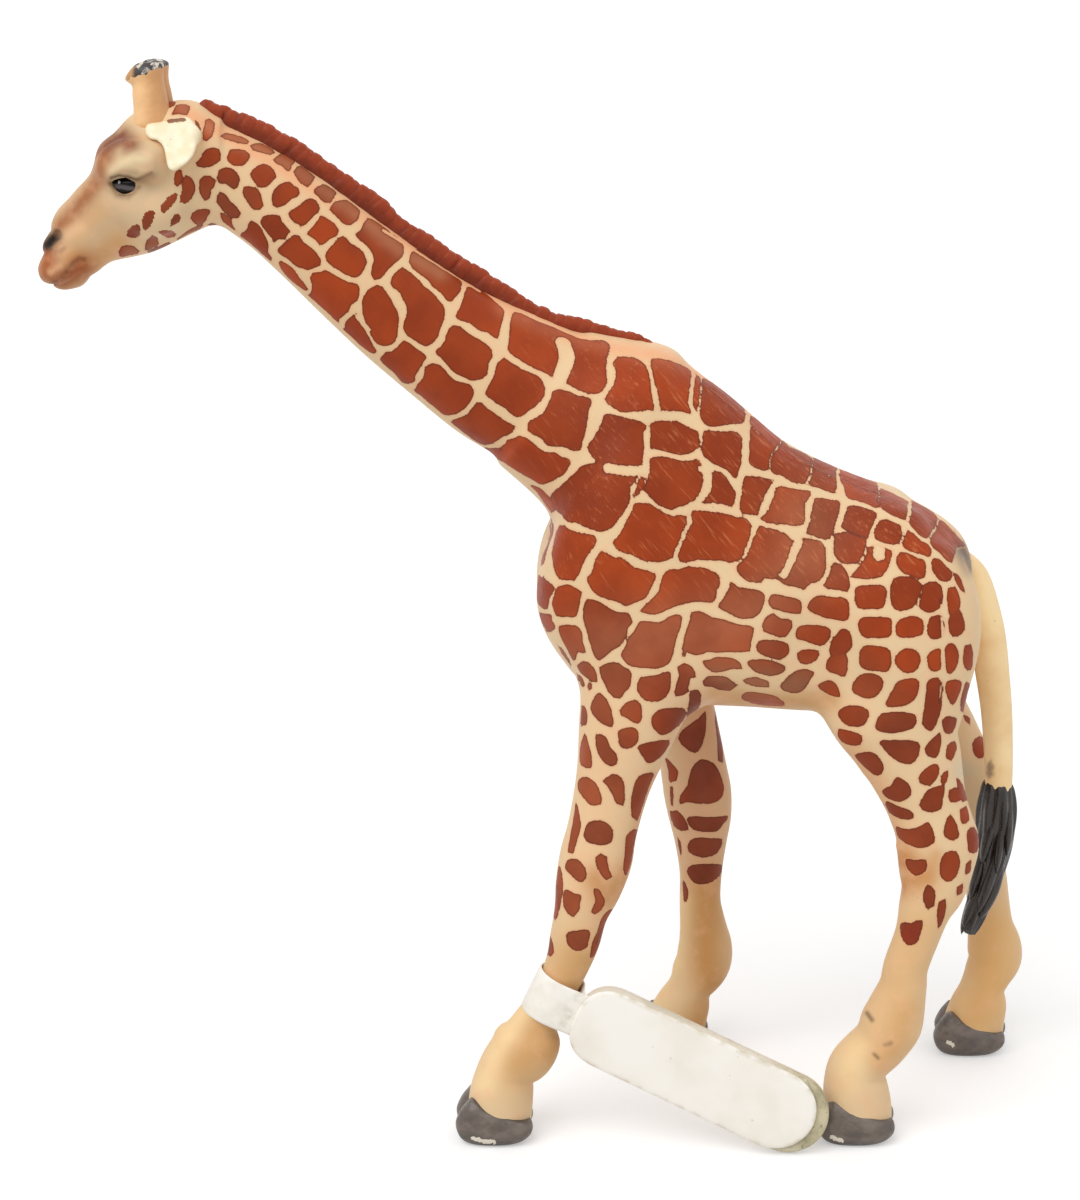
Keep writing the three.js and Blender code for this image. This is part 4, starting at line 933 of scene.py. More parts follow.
def coat_depth(points, normals):
    """How deep each point lies within a brown patch, negative on the cream, and the patch's shade."""
    depth = np.full(len(points), -patch_reach_mm)
    shade = np.full(len(points), 0.5)
    toward = points - camera_place
    facing = -np.einsum("ij,ij->i", normals, toward) / np.linalg.norm(toward, axis=1)
    pixels = in_picture(points)
    for places, middle, (first, second, up), side, its_shade, seen in patches:
        reach = np.linalg.norm(places - middle, axis=1).max() + patch_reach_mm
        near = np.linalg.norm(points - middle, axis=1) < reach
        if side == "near":
            near &= facing > near_facing
        elif side == "far":
            near &= facing < far_facing
        elif side == "away":
            near &= (facing < far_facing) | (pixels[:, 0] < near_hind_leg_from_px)
        chosen = np.flatnonzero(near)
        if not len(chosen):
            continue
        some = points[chosen]
        gap = to_line(some, places, True)
        flat = np.column_stack([(some - middle) @ first, (some - middle) @ second])
        outline = np.column_stack([(places - middle) @ first, (places - middle) @ second])
        level = np.abs((some - middle) @ up) < patch_level_mm
        leaning = normals[chosen] @ up
        agree = np.sign(np.median(leaning[gap < 1.0])) if (gap < 1.0).any() else 1
        within = inside_outline(flat, outline) & level & (leaning * agree > -0.15)
        if seen is not None:
            clear = facing[chosen] > clear_facing
            within = np.where(clear, inside_outline(pixels[chosen], seen), within)
        value = np.where(within, gap, -gap)
        better = value > depth[chosen]
        depth[chosen[better]] = value[better]
        shade[chosen[better]] = its_shade
    for line, half in slits:
        chosen = np.flatnonzero(np.linalg.norm(points - line.mean(0), axis=1) < slit_reach_mm)
        if len(chosen):
            depth[chosen] = np.minimum(depth[chosen], to_line(points[chosen], line, False) - half)
    return depth, shade


def tint(red, green, blue):
    """A paint as the eye names it, from 0 to 255, turned into the amounts of light that Blender wants."""
    shares = np.array([red, green, blue]) / 255
    return np.where(shares <= 0.04045, shares / 12.92, ((shares + 0.055) / 1.055) ** 2.4)


# Each spray is a colour, the picture points that it passes, its reach in them, and its strength.
# Most stand for airbrushed paint. Those marked round the eye and mouth are painted highlight and painted
# shade.
ground_sprays_and_painted_light = [
    ((229, 192, 148), [(250, 180), (560, 430)], 80, 0.5),
    ((206, 178, 140), [(150, 185), (110, 210), (85, 240)], 34, 0.95),
    ((212, 158, 104), [(72, 258), (96, 262), (118, 244)], 15, 0.85),
    ((216, 168, 118), [(76, 232), (98, 212)], 13, 0.7),
    ((224, 200, 160), [(185, 200), (170, 222)], 22, 0.6),
    ((130, 72, 44), [(103, 152), (110, 143), (122, 137), (129, 144)], 12.5, 1.0),
    ((168, 104, 62), [(102, 160), (97, 182), (80, 204), (60, 226)], 10, 0.92),
    ((164, 88, 42), [(46, 254), (48, 272), (62, 280), (82, 268)], 15, 0.98),
    # Painted highlight along the top of the brow's bulge.
    ((242, 218, 174), [(113, 171), (121, 164), (134, 158), (148, 158)], 5.5, 0.85),
    # Painted shade under the brow, just above the eye.
    ((176, 148, 112), [(113, 175), (122, 171.5), (136, 173)], 3.0, 0.5),
    ((184, 158, 122), [(150, 182), (152, 168), (158, 158)], 7, 0.6),
    ((234, 190, 146), [(64, 236), (80, 228)], 6, 0.6),
    # Painted shade along the lower lid, under the eye.
    ((120, 84, 56), [(109, 182), (117, 195), (128, 197), (138, 187)], 3.2, 0.6),
    # Painted shade in the upper lid's crease. The next spray runs it on past the eye's outer corner.
    ((72, 52, 40), [(111, 178), (119, 175.5), (128, 176.5), (136, 180), (144, 177), (151, 173)], 1.9, 0.85),
    ((142, 108, 74), [(138, 182), (152, 176)], 4.0, 0.6),
    ((44, 30, 24), [(47.5, 245), (51, 240.5), (56, 236)], 6.2, 1.0),
    ((30, 20, 16), [(48, 245), (51, 240.5), (56, 236)], 4.4, 1.0),
    ((176, 124, 88), [(55, 247.5), (59.5, 243)], 1.8, 0.6),
    ((140, 90, 56), [(55, 252), (60, 251), (64, 248)], 2.6, 0.6),
    ((226, 172, 128), [(51, 272), (60, 266)], 3.4, 0.7),
    # Painted shade along the line of the mouth and its corner.
    ((126, 72, 42), [(54, 282), (62, 277), (68, 270), (73, 263), (79, 258), (84, 259)], 2.6, 0.75),
    ((240, 170, 124), [(186, 112), (218, 130), (262, 156), (330, 198), (400, 240), (470, 285), (540, 325),
                       (600, 346), (660, 355), (700, 377), (745, 410)], 9, 0.75),
    ((206, 158, 104), [(716, 694), (760, 705), (830, 700)], 13, 0.9),
    ((234, 192, 148), [(610, 730), (600, 820), (590, 900)], 26, 0.7),
    ((200, 142, 88), [(622, 880), (606, 896), (596, 880)], 16, 0.8),
    ((214, 160, 110), [(652, 780), (636, 840), (620, 895)], 9, 0.6),
    ((208, 160, 104), [(578, 960), (552, 1010), (520, 1060)], 34, 0.92),
    ((246, 214, 162), [(520, 1010), (494, 1055), (484, 1085)], 12, 0.8),
    ((206, 154, 96), [(572, 1005), (566, 1035), (548, 1056)], 13, 0.8),
    ((222, 176, 138), [(700, 720), (700, 860)], 32, 0.85),
    ((204, 150, 90), [(706, 885), (706, 960), (716, 1000), (698, 1030)], 22, 0.95),
    ((238, 204, 150), [(682, 900), (676, 960), (656, 1004)], 9, 0.85),
    ((226, 174, 126), [(852, 748), (886, 800), (902, 860)], 14, 0.7),
    ((196, 132, 74), [(904, 860), (922, 876), (905, 885)], 15, 0.9),
    ((206, 148, 92), [(936, 856), (928, 880)], 9, 0.6),
    ((220, 178, 126), [(918, 930), (900, 985), (885, 1040)], 32, 0.9),
    ((214, 164, 108), [(906, 1010), (898, 1040), (880, 1062)], 12, 0.7),
    ((238, 206, 154), [(852, 1050), (850, 1080)], 14, 0.8),
    ((230, 180, 116), [(990, 930), (990, 985), (978, 1010)], 34, 0.95),
    ((236, 196, 142), [(968, 985), (960, 1010)], 10, 0.7),
    ((216, 200, 170), [(962, 772)], 12, 0.8),
    ((88, 64, 46), [(962, 550), (972, 566)], 9.5, 0.9),
    ((112, 88, 68), [(867, 1013), (872, 1020)], 2.4, 0.8),
    ((120, 94, 70), [(885, 1045), (891, 1043)], 2.0, 0.75),
    ((104, 80, 60), [(874, 1054), (878, 1058)], 1.8, 0.8),
]
patch_sprays = [
    ((150, 56, 15), [(250, 180), (560, 430)], 60, 0.8),
    ((140, 66, 36), [(150, 225), (200, 200), (240, 200)], 26, 0.8),
    ((160, 100, 68), [(130, 252), (170, 245), (200, 230)], 9, 0.7),
    ((178, 112, 78), [(182, 108), (220, 134), (262, 150), (300, 172), (345, 205), (400, 250), (440, 272)],
     9, 0.7),
    ((170, 88, 56), [(500, 310), (560, 335), (620, 352), (680, 366)], 9, 0.6),
    ((158, 88, 58), [(600, 650), (700, 630), (760, 610), (805, 560), (806, 520)], 40, 0.8),
    ((146, 70, 38), [(850, 670), (880, 710)], 28, 0.6),
    ((150, 96, 66), [(715, 680), (800, 685)], 20, 0.85),
    ((144, 72, 42), [(600, 700), (600, 800), (570, 950)], 50, 0.85),
    ((126, 58, 34), [(700, 700), (704, 880)], 30, 0.95),
    ((130, 56, 26), [(900, 740), (920, 840), (910, 935)], 46, 0.85),
    ((136, 40, 22), [(910, 934)], 12, 0.6),
    ((112, 84, 68), [(966, 550), (974, 564)], 9, 0.8),
]
cream, patch_brown = (231, 200, 157), (153, 57, 13)


def sprayed(base, sprays, pixels):
    """Colour of each point after the sprays have passed over the base paint."""
    colour = np.tile(tint(*base), (len(pixels), 1))
    for paint_colour, passed, reach, strength in sprays:
        line = np.array(passed, float)
        gap = to_line(pixels, line, False) if len(line) > 1 else np.linalg.norm(pixels - line[0], axis=1)
        share = strength * np.exp(-(gap / reach) ** 2)
        colour += (tint(*paint_colour) - colour) * share[:, None]
    return colour


def keep_numbers(made, name, values):
    """Keeps a number or a colour for each point of a piece, for its paint to read."""
    kind = "FLOAT_COLOR" if values.ndim == 2 else "FLOAT"
    layer = made.data.attributes.new(name, kind, "POINT")
    if values.ndim == 2:
        layer.data.foreach_set("color", np.column_stack([values, np.ones(len(values))]).ravel())
    else:
        layer.data.foreach_set("value", values)


def points_and_normals(made):
    """A mesh object's points in millimetres, and the way the surface faces at each."""
    count = len(made.data.vertices)
    points, normals = np.empty(count * 3), np.empty(count * 3)
    made.data.vertices.foreach_get("co", points)
    made.data.vertex_normals.foreach_get("vector", normals)
    return points.reshape(-1, 3) / MM, normals.reshape(-1, 3)


def paint_coat(made, node):
    """Puts the patches and the sprayed colours, with their painted highlight and shade, on a moulded piece.
    """
    points, normals = points_and_normals(made)
    depth, shade = coat_depth(points, normals)
    seen_from = points.copy()
    if node not in leg_tables:
        seen_from[:, 1] = mid_y - np.abs(points[:, 1] - mid_y)
    pixels = in_picture(seen_from)
    ground = sprayed(cream, ground_sprays_and_painted_light, pixels)
    brown = sprayed(patch_brown, patch_sprays, pixels) * (0.86 + 0.28 * shade)[:, None]
    stroke = np.clip((pixels[:, 0] - 500) / 120, 0, 1) * np.clip((620 - pixels[:, 1]) / 60, 0, 1)
    keep_numbers(made, "coat_depth", depth)
    keep_numbers(made, "ground", ground)
    keep_numbers(made, "brown", brown)
    keep_numbers(made, "stroke", stroke)


def new_paint(name):
    """An empty material, its node tree, and the place on the piece that its patterns follow."""
    paint = bpy.data.materials.new(name)
    paint.use_nodes = True
    tree = paint.node_tree
    tree.nodes.clear()
    return paint, tree, put(tree, "TexCoord", {}).outputs["Object"]


def kept(tree, name, output="Fac"):
    """What keep_numbers has kept on the piece's points under that name."""
    return put(tree, "Attribute", {}, attribute_name=name).outputs[output]


def lay_paint(tree, colour, roughness, relief, strength, deep_mm, even=None):
    """Joins a paint's colour, roughness and relief to its plastic; even holds what is alike all over."""
    bump = put(tree, "Bump", {"Height": relief, "Strength": strength, "Distance": deep_mm * MM})
    surface = put(tree, "BsdfPrincipled", {"Base Color": colour, "Roughness": roughness,
                                           "Normal": bump.outputs[0], **(even or {})})
    put(tree, "OutputMaterial", {"Surface": surface.outputs[0]})


def noise(tree, place, per_mm, detail=2.0, rough=0.5):
    """Noise from 0 to 1 with about that many waves in a millimetre."""
    return put(tree, "TexNoise", {"Vector": place, "Scale": per_mm / MM, "Detail": detail,
                                  "Roughness": rough}).outputs[0]


def maths(tree, operation, first, second=0.0, third=0.0):
    return put(tree, "Math", {0: first, 1: second, 2: third}, operation=operation).outputs[0]


def times(tree, first, second):
    return maths(tree, "MULTIPLY", first, second)


def times_plus(tree, first, second, third):
    return maths(tree, "MULTIPLY_ADD", first, second, third)


def spread(tree, value, low, high, out_low=0.0, out_high=1.0):
    """The value taken smoothly from one range to another."""
    made = put(tree, "MapRange", {"Value": value, "From Min": low, "From Max": high, "To Min": out_low,
                                  "To Max": out_high}, interpolation_type="SMOOTHSTEP")
    return made.outputs["Result"]


def sheen(tree, place, per_mm, low, high, detail=2.0):
    """A roughness that wanders between low and high over the piece."""
    return spread(tree, noise(tree, place, per_mm, detail), 0.2, 0.8, low, high)


def mix(tree, share, first, second, blend="MIX"):
    made = put(tree, "Mix", {0: share, 6: first, 7: second}, data_type="RGBA", blend_type=blend)
    return made.outputs[2]


def fixed(red, green, blue):
    """An even paint as a colour socket takes it."""
    return (*tint(red, green, blue), 1.0)


def coat_paint(name):
    """Hand-painted patches on a sprayed ground, both satin, with the brush and the carving showing."""
    paint, tree, place = new_paint(name)
    stroke = kept(tree, "stroke")
    turned = put(tree, "VectorRotate", {"Vector": place, "Angle": math.radians(-50)},
                 rotation_type="Y_AXIS").outputs[0]
    drawn = put(tree, "VectorMath", {0: turned, 1: (0.11, 1.0, 1.5)}, operation="MULTIPLY").outputs[0]
    hairs = noise(tree, drawn, 1.5, 3.0, 0.6)
    wobble = times_plus(tree, noise(tree, place, 0.75), 0.36, -0.16)
    fine = times_plus(tree, noise(tree, place, 3.2), 0.20, -0.10)
    scratch = times(tree, times_plus(tree, hairs, 0.5, -0.25), stroke)
    edge = kept(tree, "coat_depth")
    for shift in (wobble, fine, scratch):
        edge = maths(tree, "ADD", edge, shift)
    mask = spread(tree, edge, -0.05, 0.07)

    cloud = noise(tree, place, 0.16, 3.0)
    shades = [spread(tree, cloud, 0.3, 0.7, *span) for span in ((0.88, 1.14), (0.84, 1.18), (0.82, 1.2))]
    clouded = put(tree, "CombineColor", dict(enumerate(shades))).outputs[0]
    brown = mix(tree, 1.0, kept(tree, "brown", "Color"), clouded, "MULTIPLY")
    streak = times(tree, spread(tree, hairs, 0.55, 0.74), times_plus(tree, stroke, 0.42, 0.03))
    brown = mix(tree, streak, brown, fixed(214, 132, 86))
    rim = times(tree, spread(tree, edge, 0.34, 0.08), 0.62)
    brown = mix(tree, rim, brown, fixed(84, 34, 16))

    flush = spread(tree, noise(tree, place, 0.35, 3.0), 0.45, 0.75, 0.0, 0.35)
    ground = mix(tree, flush, kept(tree, "ground", "Color"), fixed(240, 186, 146))
    specks = spread(tree, noise(tree, place, 1.1), 0.76, 0.80, 0.0, 0.35)
    ground = mix(tree, specks, ground, fixed(150, 122, 92))
    halo = times(tree, spread(tree, edge, -0.42, -0.05), 0.35)
    ground = mix(tree, halo, ground, fixed(226, 160, 118))

    relief = times(tree, hairs, times_plus(tree, stroke, 1.0, 0.14))
    relief = times_plus(tree, mask, 0.16, relief)
    relief = times_plus(tree, noise(tree, place, 2.4), 0.14, relief)
    colour = mix(tree, mask, ground, brown)
    roughness = sheen(tree, place, 0.5, 0.38, 0.56, 3.0)
    lay_paint(tree, colour, roughness, relief, 0.8, 0.16, {"Specular IOR Level": 0.20})
    return paint


slot_paints = {slot_name: coat_paint(slot_name + "_paint") for slot_name in ("coat", "face", "leg")}
coat_slots = {"torso": "coat", "neck": "coat", "head": "face"}
for node, piece in coated.items():
    paint_coat(piece, node)
    slot_name = coat_slots.get(node, "leg")
    piece.data.materials.append(slot_paints[slot_name])
    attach(piece, "figure")
    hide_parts(node)

# Eyes
# On the real figure they are painted dark and varnished in their sockets.
# Here each is a glossy egg behind the lids, greyer in its lower half.
def skinned(name, rings):
    """A closed skin over rings as a mesh object, and its points."""
    points, triangles, quads = facing_out(skin(rings))
    return as_object(name, points, all_faces(triangles, quads)), points


def egg(name, centre, radii, turn, around=40, levels=22):
    """A closed egg shape with its poles along the first of its three directions."""
    angles = full_turn(around)
    rings = []
    for level in np.linspace(-math.pi / 2, math.pi / 2, levels + 2)[1:-1]:
        ring = np.column_stack([np.full(around, math.sin(level)), math.cos(level) * np.cos(angles),
                                math.cos(level) * np.sin(angles)]) * radii
        rings.append(ring @ turn.T + centre)
    return skinned(name, rings)[0]


def eye_paint():
    """Near-black varnish, greyer below, with a dark rim and a small painted glint."""
    paint, tree, place = new_paint("eye_varnish")
    edge = times_plus(tree, noise(tree, place, 1.6), 0.2, kept(tree, "low"))
    colour = mix(tree, spread(tree, edge, 0.52, 0.72), fixed(14, 10, 9), fixed(88, 82, 82))
    colour = mix(tree, spread(tree, edge, 0.98, 1.08), colour, fixed(24, 18, 17))
    colour = mix(tree, spread(tree, kept(tree, "glint"), 0.4, 0.7), colour, fixed(196, 192, 196))
    roughness = spread(tree, noise(tree, place, 2.0), 0.3, 0.7, 0.10, 0.24)
    surface = put(tree, "BsdfPrincipled", {"Base Color": colour, "Roughness": roughness,
                                           "Specular IOR Level": 0.08, "Coat Weight": 0.10,
                                           "Coat Roughness": 0.08})
    put(tree, "OutputMaterial", {"Surface": surface.outputs[0]})
    return paint


varnish = eye_paint()
eye_up = math.copysign(1, eye_turn[2, 2])
glint_place, glint_half = (math.copysign(0.62, -eye_turn[0, 0]), 0.30 * eye_up), (0.22, 0.40)
eye_radii, eye_behind = np.array([2.22, 1.05, 1.50]), 0.62
for hand, eye_name in ((-1, "left_eye"), (1, "right_eye")):
    mirror = np.diag([1, -hand, 1])
    centre = mirror @ (eye_place - eye_normal * eye_behind) + drawing_zero
    eye = egg(eye_name, centre, eye_radii, mirror @ eye_turn)
    points, _ = points_and_normals(eye)
    across_eye = (points - centre) @ (mirror @ eye_turn)
    rim = np.hypot(across_eye[:, 0] / eye_radii[0], across_eye[:, 2] / eye_radii[2])
    low_half = np.clip(0.5 - across_eye[:, 2] * eye_up / eye_radii[2], 0, 1)
    keep_numbers(eye, "low", low_half + 0.35 * (rim > 0.86))
    glint_gap = np.hypot(*((across_eye[:, [0, 2]] - glint_place) / glint_half).T)
    keep_numbers(eye, "glint", np.clip(1.4 - glint_gap, 0, 1))
    eye.data.materials.append(varnish)
    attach(eye, "figure")
    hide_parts("head")

# Ears
# Thick cream leaves that hang forward and outward, hollow toward the front, plugged in behind the horns.
# The picture gives the outline; the leaf lies on a slope that runs down and out from the head.
ear_outline = [(145, 129), (147, 124), (151, 122), (165, 121), (169, 118), (177, 116.5), (185, 116),
               (190, 118), (195, 126), (197, 140), (195, 152), (190, 160), (181, 167.5), (174, 171),
               (168.5, 168), (166, 160), (164, 150), (161, 144), (157, 140.5), (150, 139), (146, 134.5)]
ear_cup, ear_cup_px = (178, 147), 15.0
ear_slope, ear_root_y, ear_root_z = 0.95, -3.75, 154.0
ear_half_thick, ear_round, ear_grain = 0.72, 0.75, 0.17
ear_cup_deep, ear_px_per_mm = 0.95, 6.85
ear_root, ear_root_thick, ear_root_melt = ((-53.2, -4.6, 152.6), (-55.2, 0.0, 152.4)), 1.3, 1.2


def ear_points():
    """The left ear as the surface of a field, silhouette and slope given by the picture."""
    low, high = np.array([-61.5, -12.5, 147.0]), np.array([-49.0, 0.5, 156.5])
    count = np.ceil((high - low) / ear_grain).astype(int)
    axes = [low[i] + np.arange(count[i]) * ear_grain for i in range(3)]
    x, y, z = np.meshgrid(*axes, indexing="ij")
    places = np.column_stack([x.ravel(), y.ravel(), z.ravel()])
    pixels = in_picture(places)
    outline = closed_curve(np.array(ear_outline, float), 4.0)
    side = to_line(pixels, outline, True) / ear_px_per_mm
    side[inside_outline(pixels, outline)] *= -1
    lean = math.hypot(1, ear_slope)
    above = (places[:, 1] - ear_root_y + ear_slope * (ear_root_z - places[:, 2])) / lean
    cup = np.exp(-((pixels - ear_cup) ** 2).sum(1) / ear_cup_px ** 2)
    slab = np.maximum(above - ear_half_thick, -above - ear_half_thick + ear_cup_deep * cup)
    first, second = side + ear_round, slab + ear_round
    field = np.hypot(np.maximum(first, 0), np.maximum(second, 0)) + np.minimum(np.maximum(first, second), 0)
    field -= ear_round
    root = to_line(places, np.array(ear_root), False) - ear_root_thick
    share = np.clip(0.5 + 0.5 * (root - field) / ear_root_melt, 0, 1)
    field = root * (1 - share) + field * share - ear_root_melt * share * (1 - share)
    first_cell = np.round(low / ear_grain).astype(int)
    points, faces = cast(field.reshape(count).astype(np.float32), first_cell, ear_grain)
    return points + (low - first_cell * ear_grain), faces


def ear_paint():
    """Pale cream with a few specks, and a brown touch on the upper edge."""
    paint, tree, place = new_paint("ear_paint")
    cloud = noise(tree, place, 0.35, 3.0)
    colour = mix(tree, spread(tree, cloud, 0.35, 0.7), fixed(252, 243, 214), fixed(243, 227, 188))
    specks = spread(tree, noise(tree, place, 1.7), 0.70, 0.75, 0.0, 0.4)
    colour = mix(tree, specks, colour, fixed(168, 140, 104))
    rough_edge = times_plus(tree, noise(tree, place, 2.2), 0.8, kept(tree, "mark"))
    colour = mix(tree, spread(tree, rough_edge, 0.75, 1.1), colour, fixed(140, 92, 60))
    lay_paint(tree, colour, sheen(tree, place, 0.6, 0.40, 0.58), noise(tree, place, 1.2, 3.0), 0.6, 0.10)
    return paint


ear_skin_paint = ear_paint()
left_points, left_faces = ear_points()
ear_top_mark = np.array([(169, 121.0), (184, 119.5)])
mark_gap = to_line(in_picture(left_points), ear_top_mark, False)
for hand, node in ((-1, "left_ear"), (1, "right_ear")):
    points = left_points.copy()
    if hand > 0:
        points[:, 1] = 2 * mid_y - points[:, 1]
    ear = as_object(node + "_leaf", points, left_faces)
    keep_numbers(ear, "mark", np.clip(1.2 - mark_gap / 3.0, 0, 1))
    ear.data.materials.append(ear_skin_paint)
    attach(ear, "figure")
    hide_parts(node)

# Horns
# Two short stumps with flared tops, pegged into the crown, their black tips worn down to bare plastic.
# Each top slopes forward and is pitted where the paint has chipped.
horn_grain, horn_away = 0.16, 2.42
horn_top_from, horn_top_slope = 161.7 + 21.9, 0.36
horn_pits = 7


def horn_paint():
    """Cream stump darkening to ochre toward the back as painted shade, with a worn black top whose chips show
    grey and bare plastic.
    """
    paint, tree, place = new_paint("horn_paint")
    apart = put(tree, "SeparateXYZ", {0: place})
    front, height = apart.outputs[0], apart.outputs[2]
    ragged = times_plus(tree, noise(tree, place, 0.9, 3.0), 1.6 * MM, height)
    slanted = times_plus(tree, front, -horn_top_slope, ragged)
    top = spread(tree, slanted, horn_top_from * MM, (horn_top_from + 0.2) * MM)
    # Painted shade: the stump darkens to ochre toward its back, away from the light.
    behind = times_plus(tree, noise(tree, place, 0.4), 1.5 * MM, front)
    behind = spread(tree, behind, -60.5 * MM, -57.5 * MM)
    body = mix(tree, behind, fixed(246, 198, 142), fixed(214, 158, 104))
    cloud = spread(tree, noise(tree, place, 0.7, 3.0), 0.5, 0.8, 0.0, 0.4)
    body = mix(tree, cloud, body, fixed(226, 180, 124))
    chips = noise(tree, place, 1.0, 2.0, 0.6)
    worn = mix(tree, spread(tree, chips, 0.50, 0.54), fixed(48, 42, 40), fixed(150, 146, 140))
    worn = mix(tree, spread(tree, chips, 0.57, 0.61), worn, fixed(226, 214, 196))
    ochre = times(tree, spread(tree, front, -61.2 * MM, -62.0 * MM), 0.85)
    worn = mix(tree, ochre, worn, fixed(206, 152, 92))
    pits = times(tree, spread(tree, chips, 0.5, 0.6), times(tree, top, 0.8))
    relief = maths(tree, "ADD", pits, noise(tree, place, 1.3, 3.0))
    lay_paint(tree, mix(tree, top, body, worn), sheen(tree, place, 0.8, 0.36, 0.6), relief, 0.7, 0.16)
    return paint


horn_skin_paint = horn_paint()
for hand, node in ((-1, "left_horn"), (1, "right_horn")):
    forms = []
    side = hand * horn_away
    root, waist, neck = (np.array([x, side, z]) for x, z in ((-57.0, 154.6), (-57.4, 158.0), (-57.6, 160.9)))
    lay_bar(root, waist, 3.0, 2.28, 0.1, both=False)
    lay_bar(waist, neck, 2.28, 2.28, 0.8, both=False)
    press_ball((-58.0, side, 161.5), (3.0, 2.35, 1.15), 0.9, tilt=22, both=False)
    for _ in range(horn_pits):
        where = dice.uniform((-60.4, side - 1.6, 162.6), (-56.0, side + 1.6, 163.4))
        press_ball(where, dice.uniform(0.35, 0.75, 3), 0.25, sign=-1, both=False)
    low, high = (-62.5, side - 3.5, 152.6), (-53.0, side + 3.5, 164.2)
    horn = moulded_piece(node + "_stump", low, high, horn_grain, [])
    horn.data.materials.append(horn_skin_paint)
    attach(horn, "figure")
    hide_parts(node)

# Mane
# A strip of soft plastic is set in a groove along the neck, and short locks stand close together on it.
# The locks are one shape repeated with a little difference in size and lean.
mane_top = [(-50.9, 157.4), (-45.4, 155.5), (-39.6, 152.9), (-33.4, 149.0), (-29.5, 146.2), (-24.7, 143.1),
            (-21.5, 139.9), (-14.6, 135.5), (-6.8, 130.5), (-0.1, 126.4), (8.2, 124.4), (14.2, 122.9),
            (17.4, 121.2)]
mane_half_wide, strip_below, strip_deep, lock_step = 1.42, 1.3, 3.4, 1.35
lock_tall, lock_lean, mane_lift = 3.4, 0.20, 0.62


def along_line(points, step):
    """Places along a smooth side-view line at an even step, and the line's direction at each."""
    fine = soft_curve(points, 20)
    run = np.concatenate([[0], np.cumsum(np.linalg.norm(np.diff(fine, axis=0), axis=1))])
    wanted = np.arange(0, run[-1], step)
    places = np.column_stack([np.interp(wanted, run, fine[:, 0]), np.interp(wanted, run, fine[:, 1])])
    return places, ways_along(places)


def copies_group():
    """Node group: copies of a shape on points, turned and sized as each point says and a little by chance."""
    group = bpy.data.node_groups.new("copies_on_points", "GeometryNodeTree")
    for label, kind in (("Points", "Geometry"), ("Shape", "Object"), ("Size spread", "Float"),
                        ("Turn spread", "Float"), ("Seed", "Int"), ("Paint", "Material")):
        group.interface.new_socket(label, in_out="INPUT", socket_type="NodeSocket" + kind)
    group.interface.new_socket("Copies", in_out="OUTPUT", socket_type="NodeSocketGeometry")
    given = group.nodes.new("NodeGroupInput").outputs
    shape = put(group, "GeometryNodeObjectInfo", {"Object": given["Shape"]}).outputs["Geometry"]
    turn, size = (put(group, "GeometryNodeInputNamedAttribute", {"Name": label},
                      data_type="FLOAT_VECTOR").outputs[0] for label in ("turn", "size"))
    chance = []
    for label, offset in (("Turn spread", 0), ("Size spread", 11)):
        low, high = (put(group, "VectorMath", {0: (sign, sign, sign), "Scale": given[label]},
                         operation="SCALE").outputs[0] for sign in (-1, 1))
        seed = put(group, "Math", {0: given["Seed"], 1: offset}).outputs[0]
        chance.append(put(group, "FunctionNodeRandomValue", {0: low, 1: high, "Seed": seed},
                          data_type="FLOAT_VECTOR").outputs[0])
    turned = put(group, "VectorMath", {0: turn, 1: chance[0]}).outputs[0]
    sized = put(group, "VectorMath", {0: size, 1: chance[1], 2: size}, operation="MULTIPLY_ADD").outputs[0]
    copies = put(group, "GeometryNodeInstanceOnPoints", {"Points": given["Points"], "Instance": shape,
                                                         "Rotation": turned, "Scale": sized}).outputs[0]
    real = put(group, "GeometryNodeRealizeInstances", {0: copies}).outputs[0]
    painted = put(group, "GeometryNodeSetMaterial", {"Geometry": real, "Material": given["Paint"]}).outputs[0]
    group.links.new(painted, group.nodes.new("NodeGroupOutput").inputs[0])
    return group


copies_on_points = copies_group()


def make_copies(name, places, turns, sizes, shape, size_spread, turn_spread, seed, paint):
    """Copies of a shape as one plain mesh; turns are angles about x, y and z in radians."""
    base = as_object(name, places, [])
    for label, values in (("turn", turns), ("size", sizes)):
        layer = base.data.attributes.new(label, "FLOAT_VECTOR", "POINT")
        layer.data.foreach_set("vector", np.asarray(values, float).ravel())
    grown = base.modifiers.new("copies", "NODES")
    grown.node_group = copies_on_points
    given = {"Shape": shape, "Size spread": size_spread, "Turn spread": turn_spread, "Seed": seed,
             "Paint": paint}
    for item in copies_on_points.interface.items_tree:
        if item.in_out == "INPUT" and item.name in given:
            grown[item.identifier] = given[item.name]
    base.update_tag()
    bpy.context.view_layer.update()
    ready = base.evaluated_get(bpy.context.evaluated_depsgraph_get())
    mesh = bpy.data.meshes.new_from_object(ready)
    base.modifiers.remove(grown)
    base.data = mesh
    base.data.shade_smooth()
    return base


def pillow(name, half, power, levels=14, around=36):
    """A small lock with its root at zero: a rounded block, narrower to the top."""
    angles = full_turn(around)
    square = squarish(angles, 3.2)
    rings, heights = [], []
    for level in np.linspace(0.02, 0.999, levels):
        reach = square * (1 - level ** power) ** (1 / power)
        rings.append(np.column_stack([np.cos(angles) * reach * half[0], np.sin(angles) * reach * half[1],
                                      np.full(around, level * half[2])]))
        heights += [level] * around
    made = skinned(name, rings)[0]
    keep_numbers(made, "crest", np.array(heights + [0.0, 1.0]))
    return made


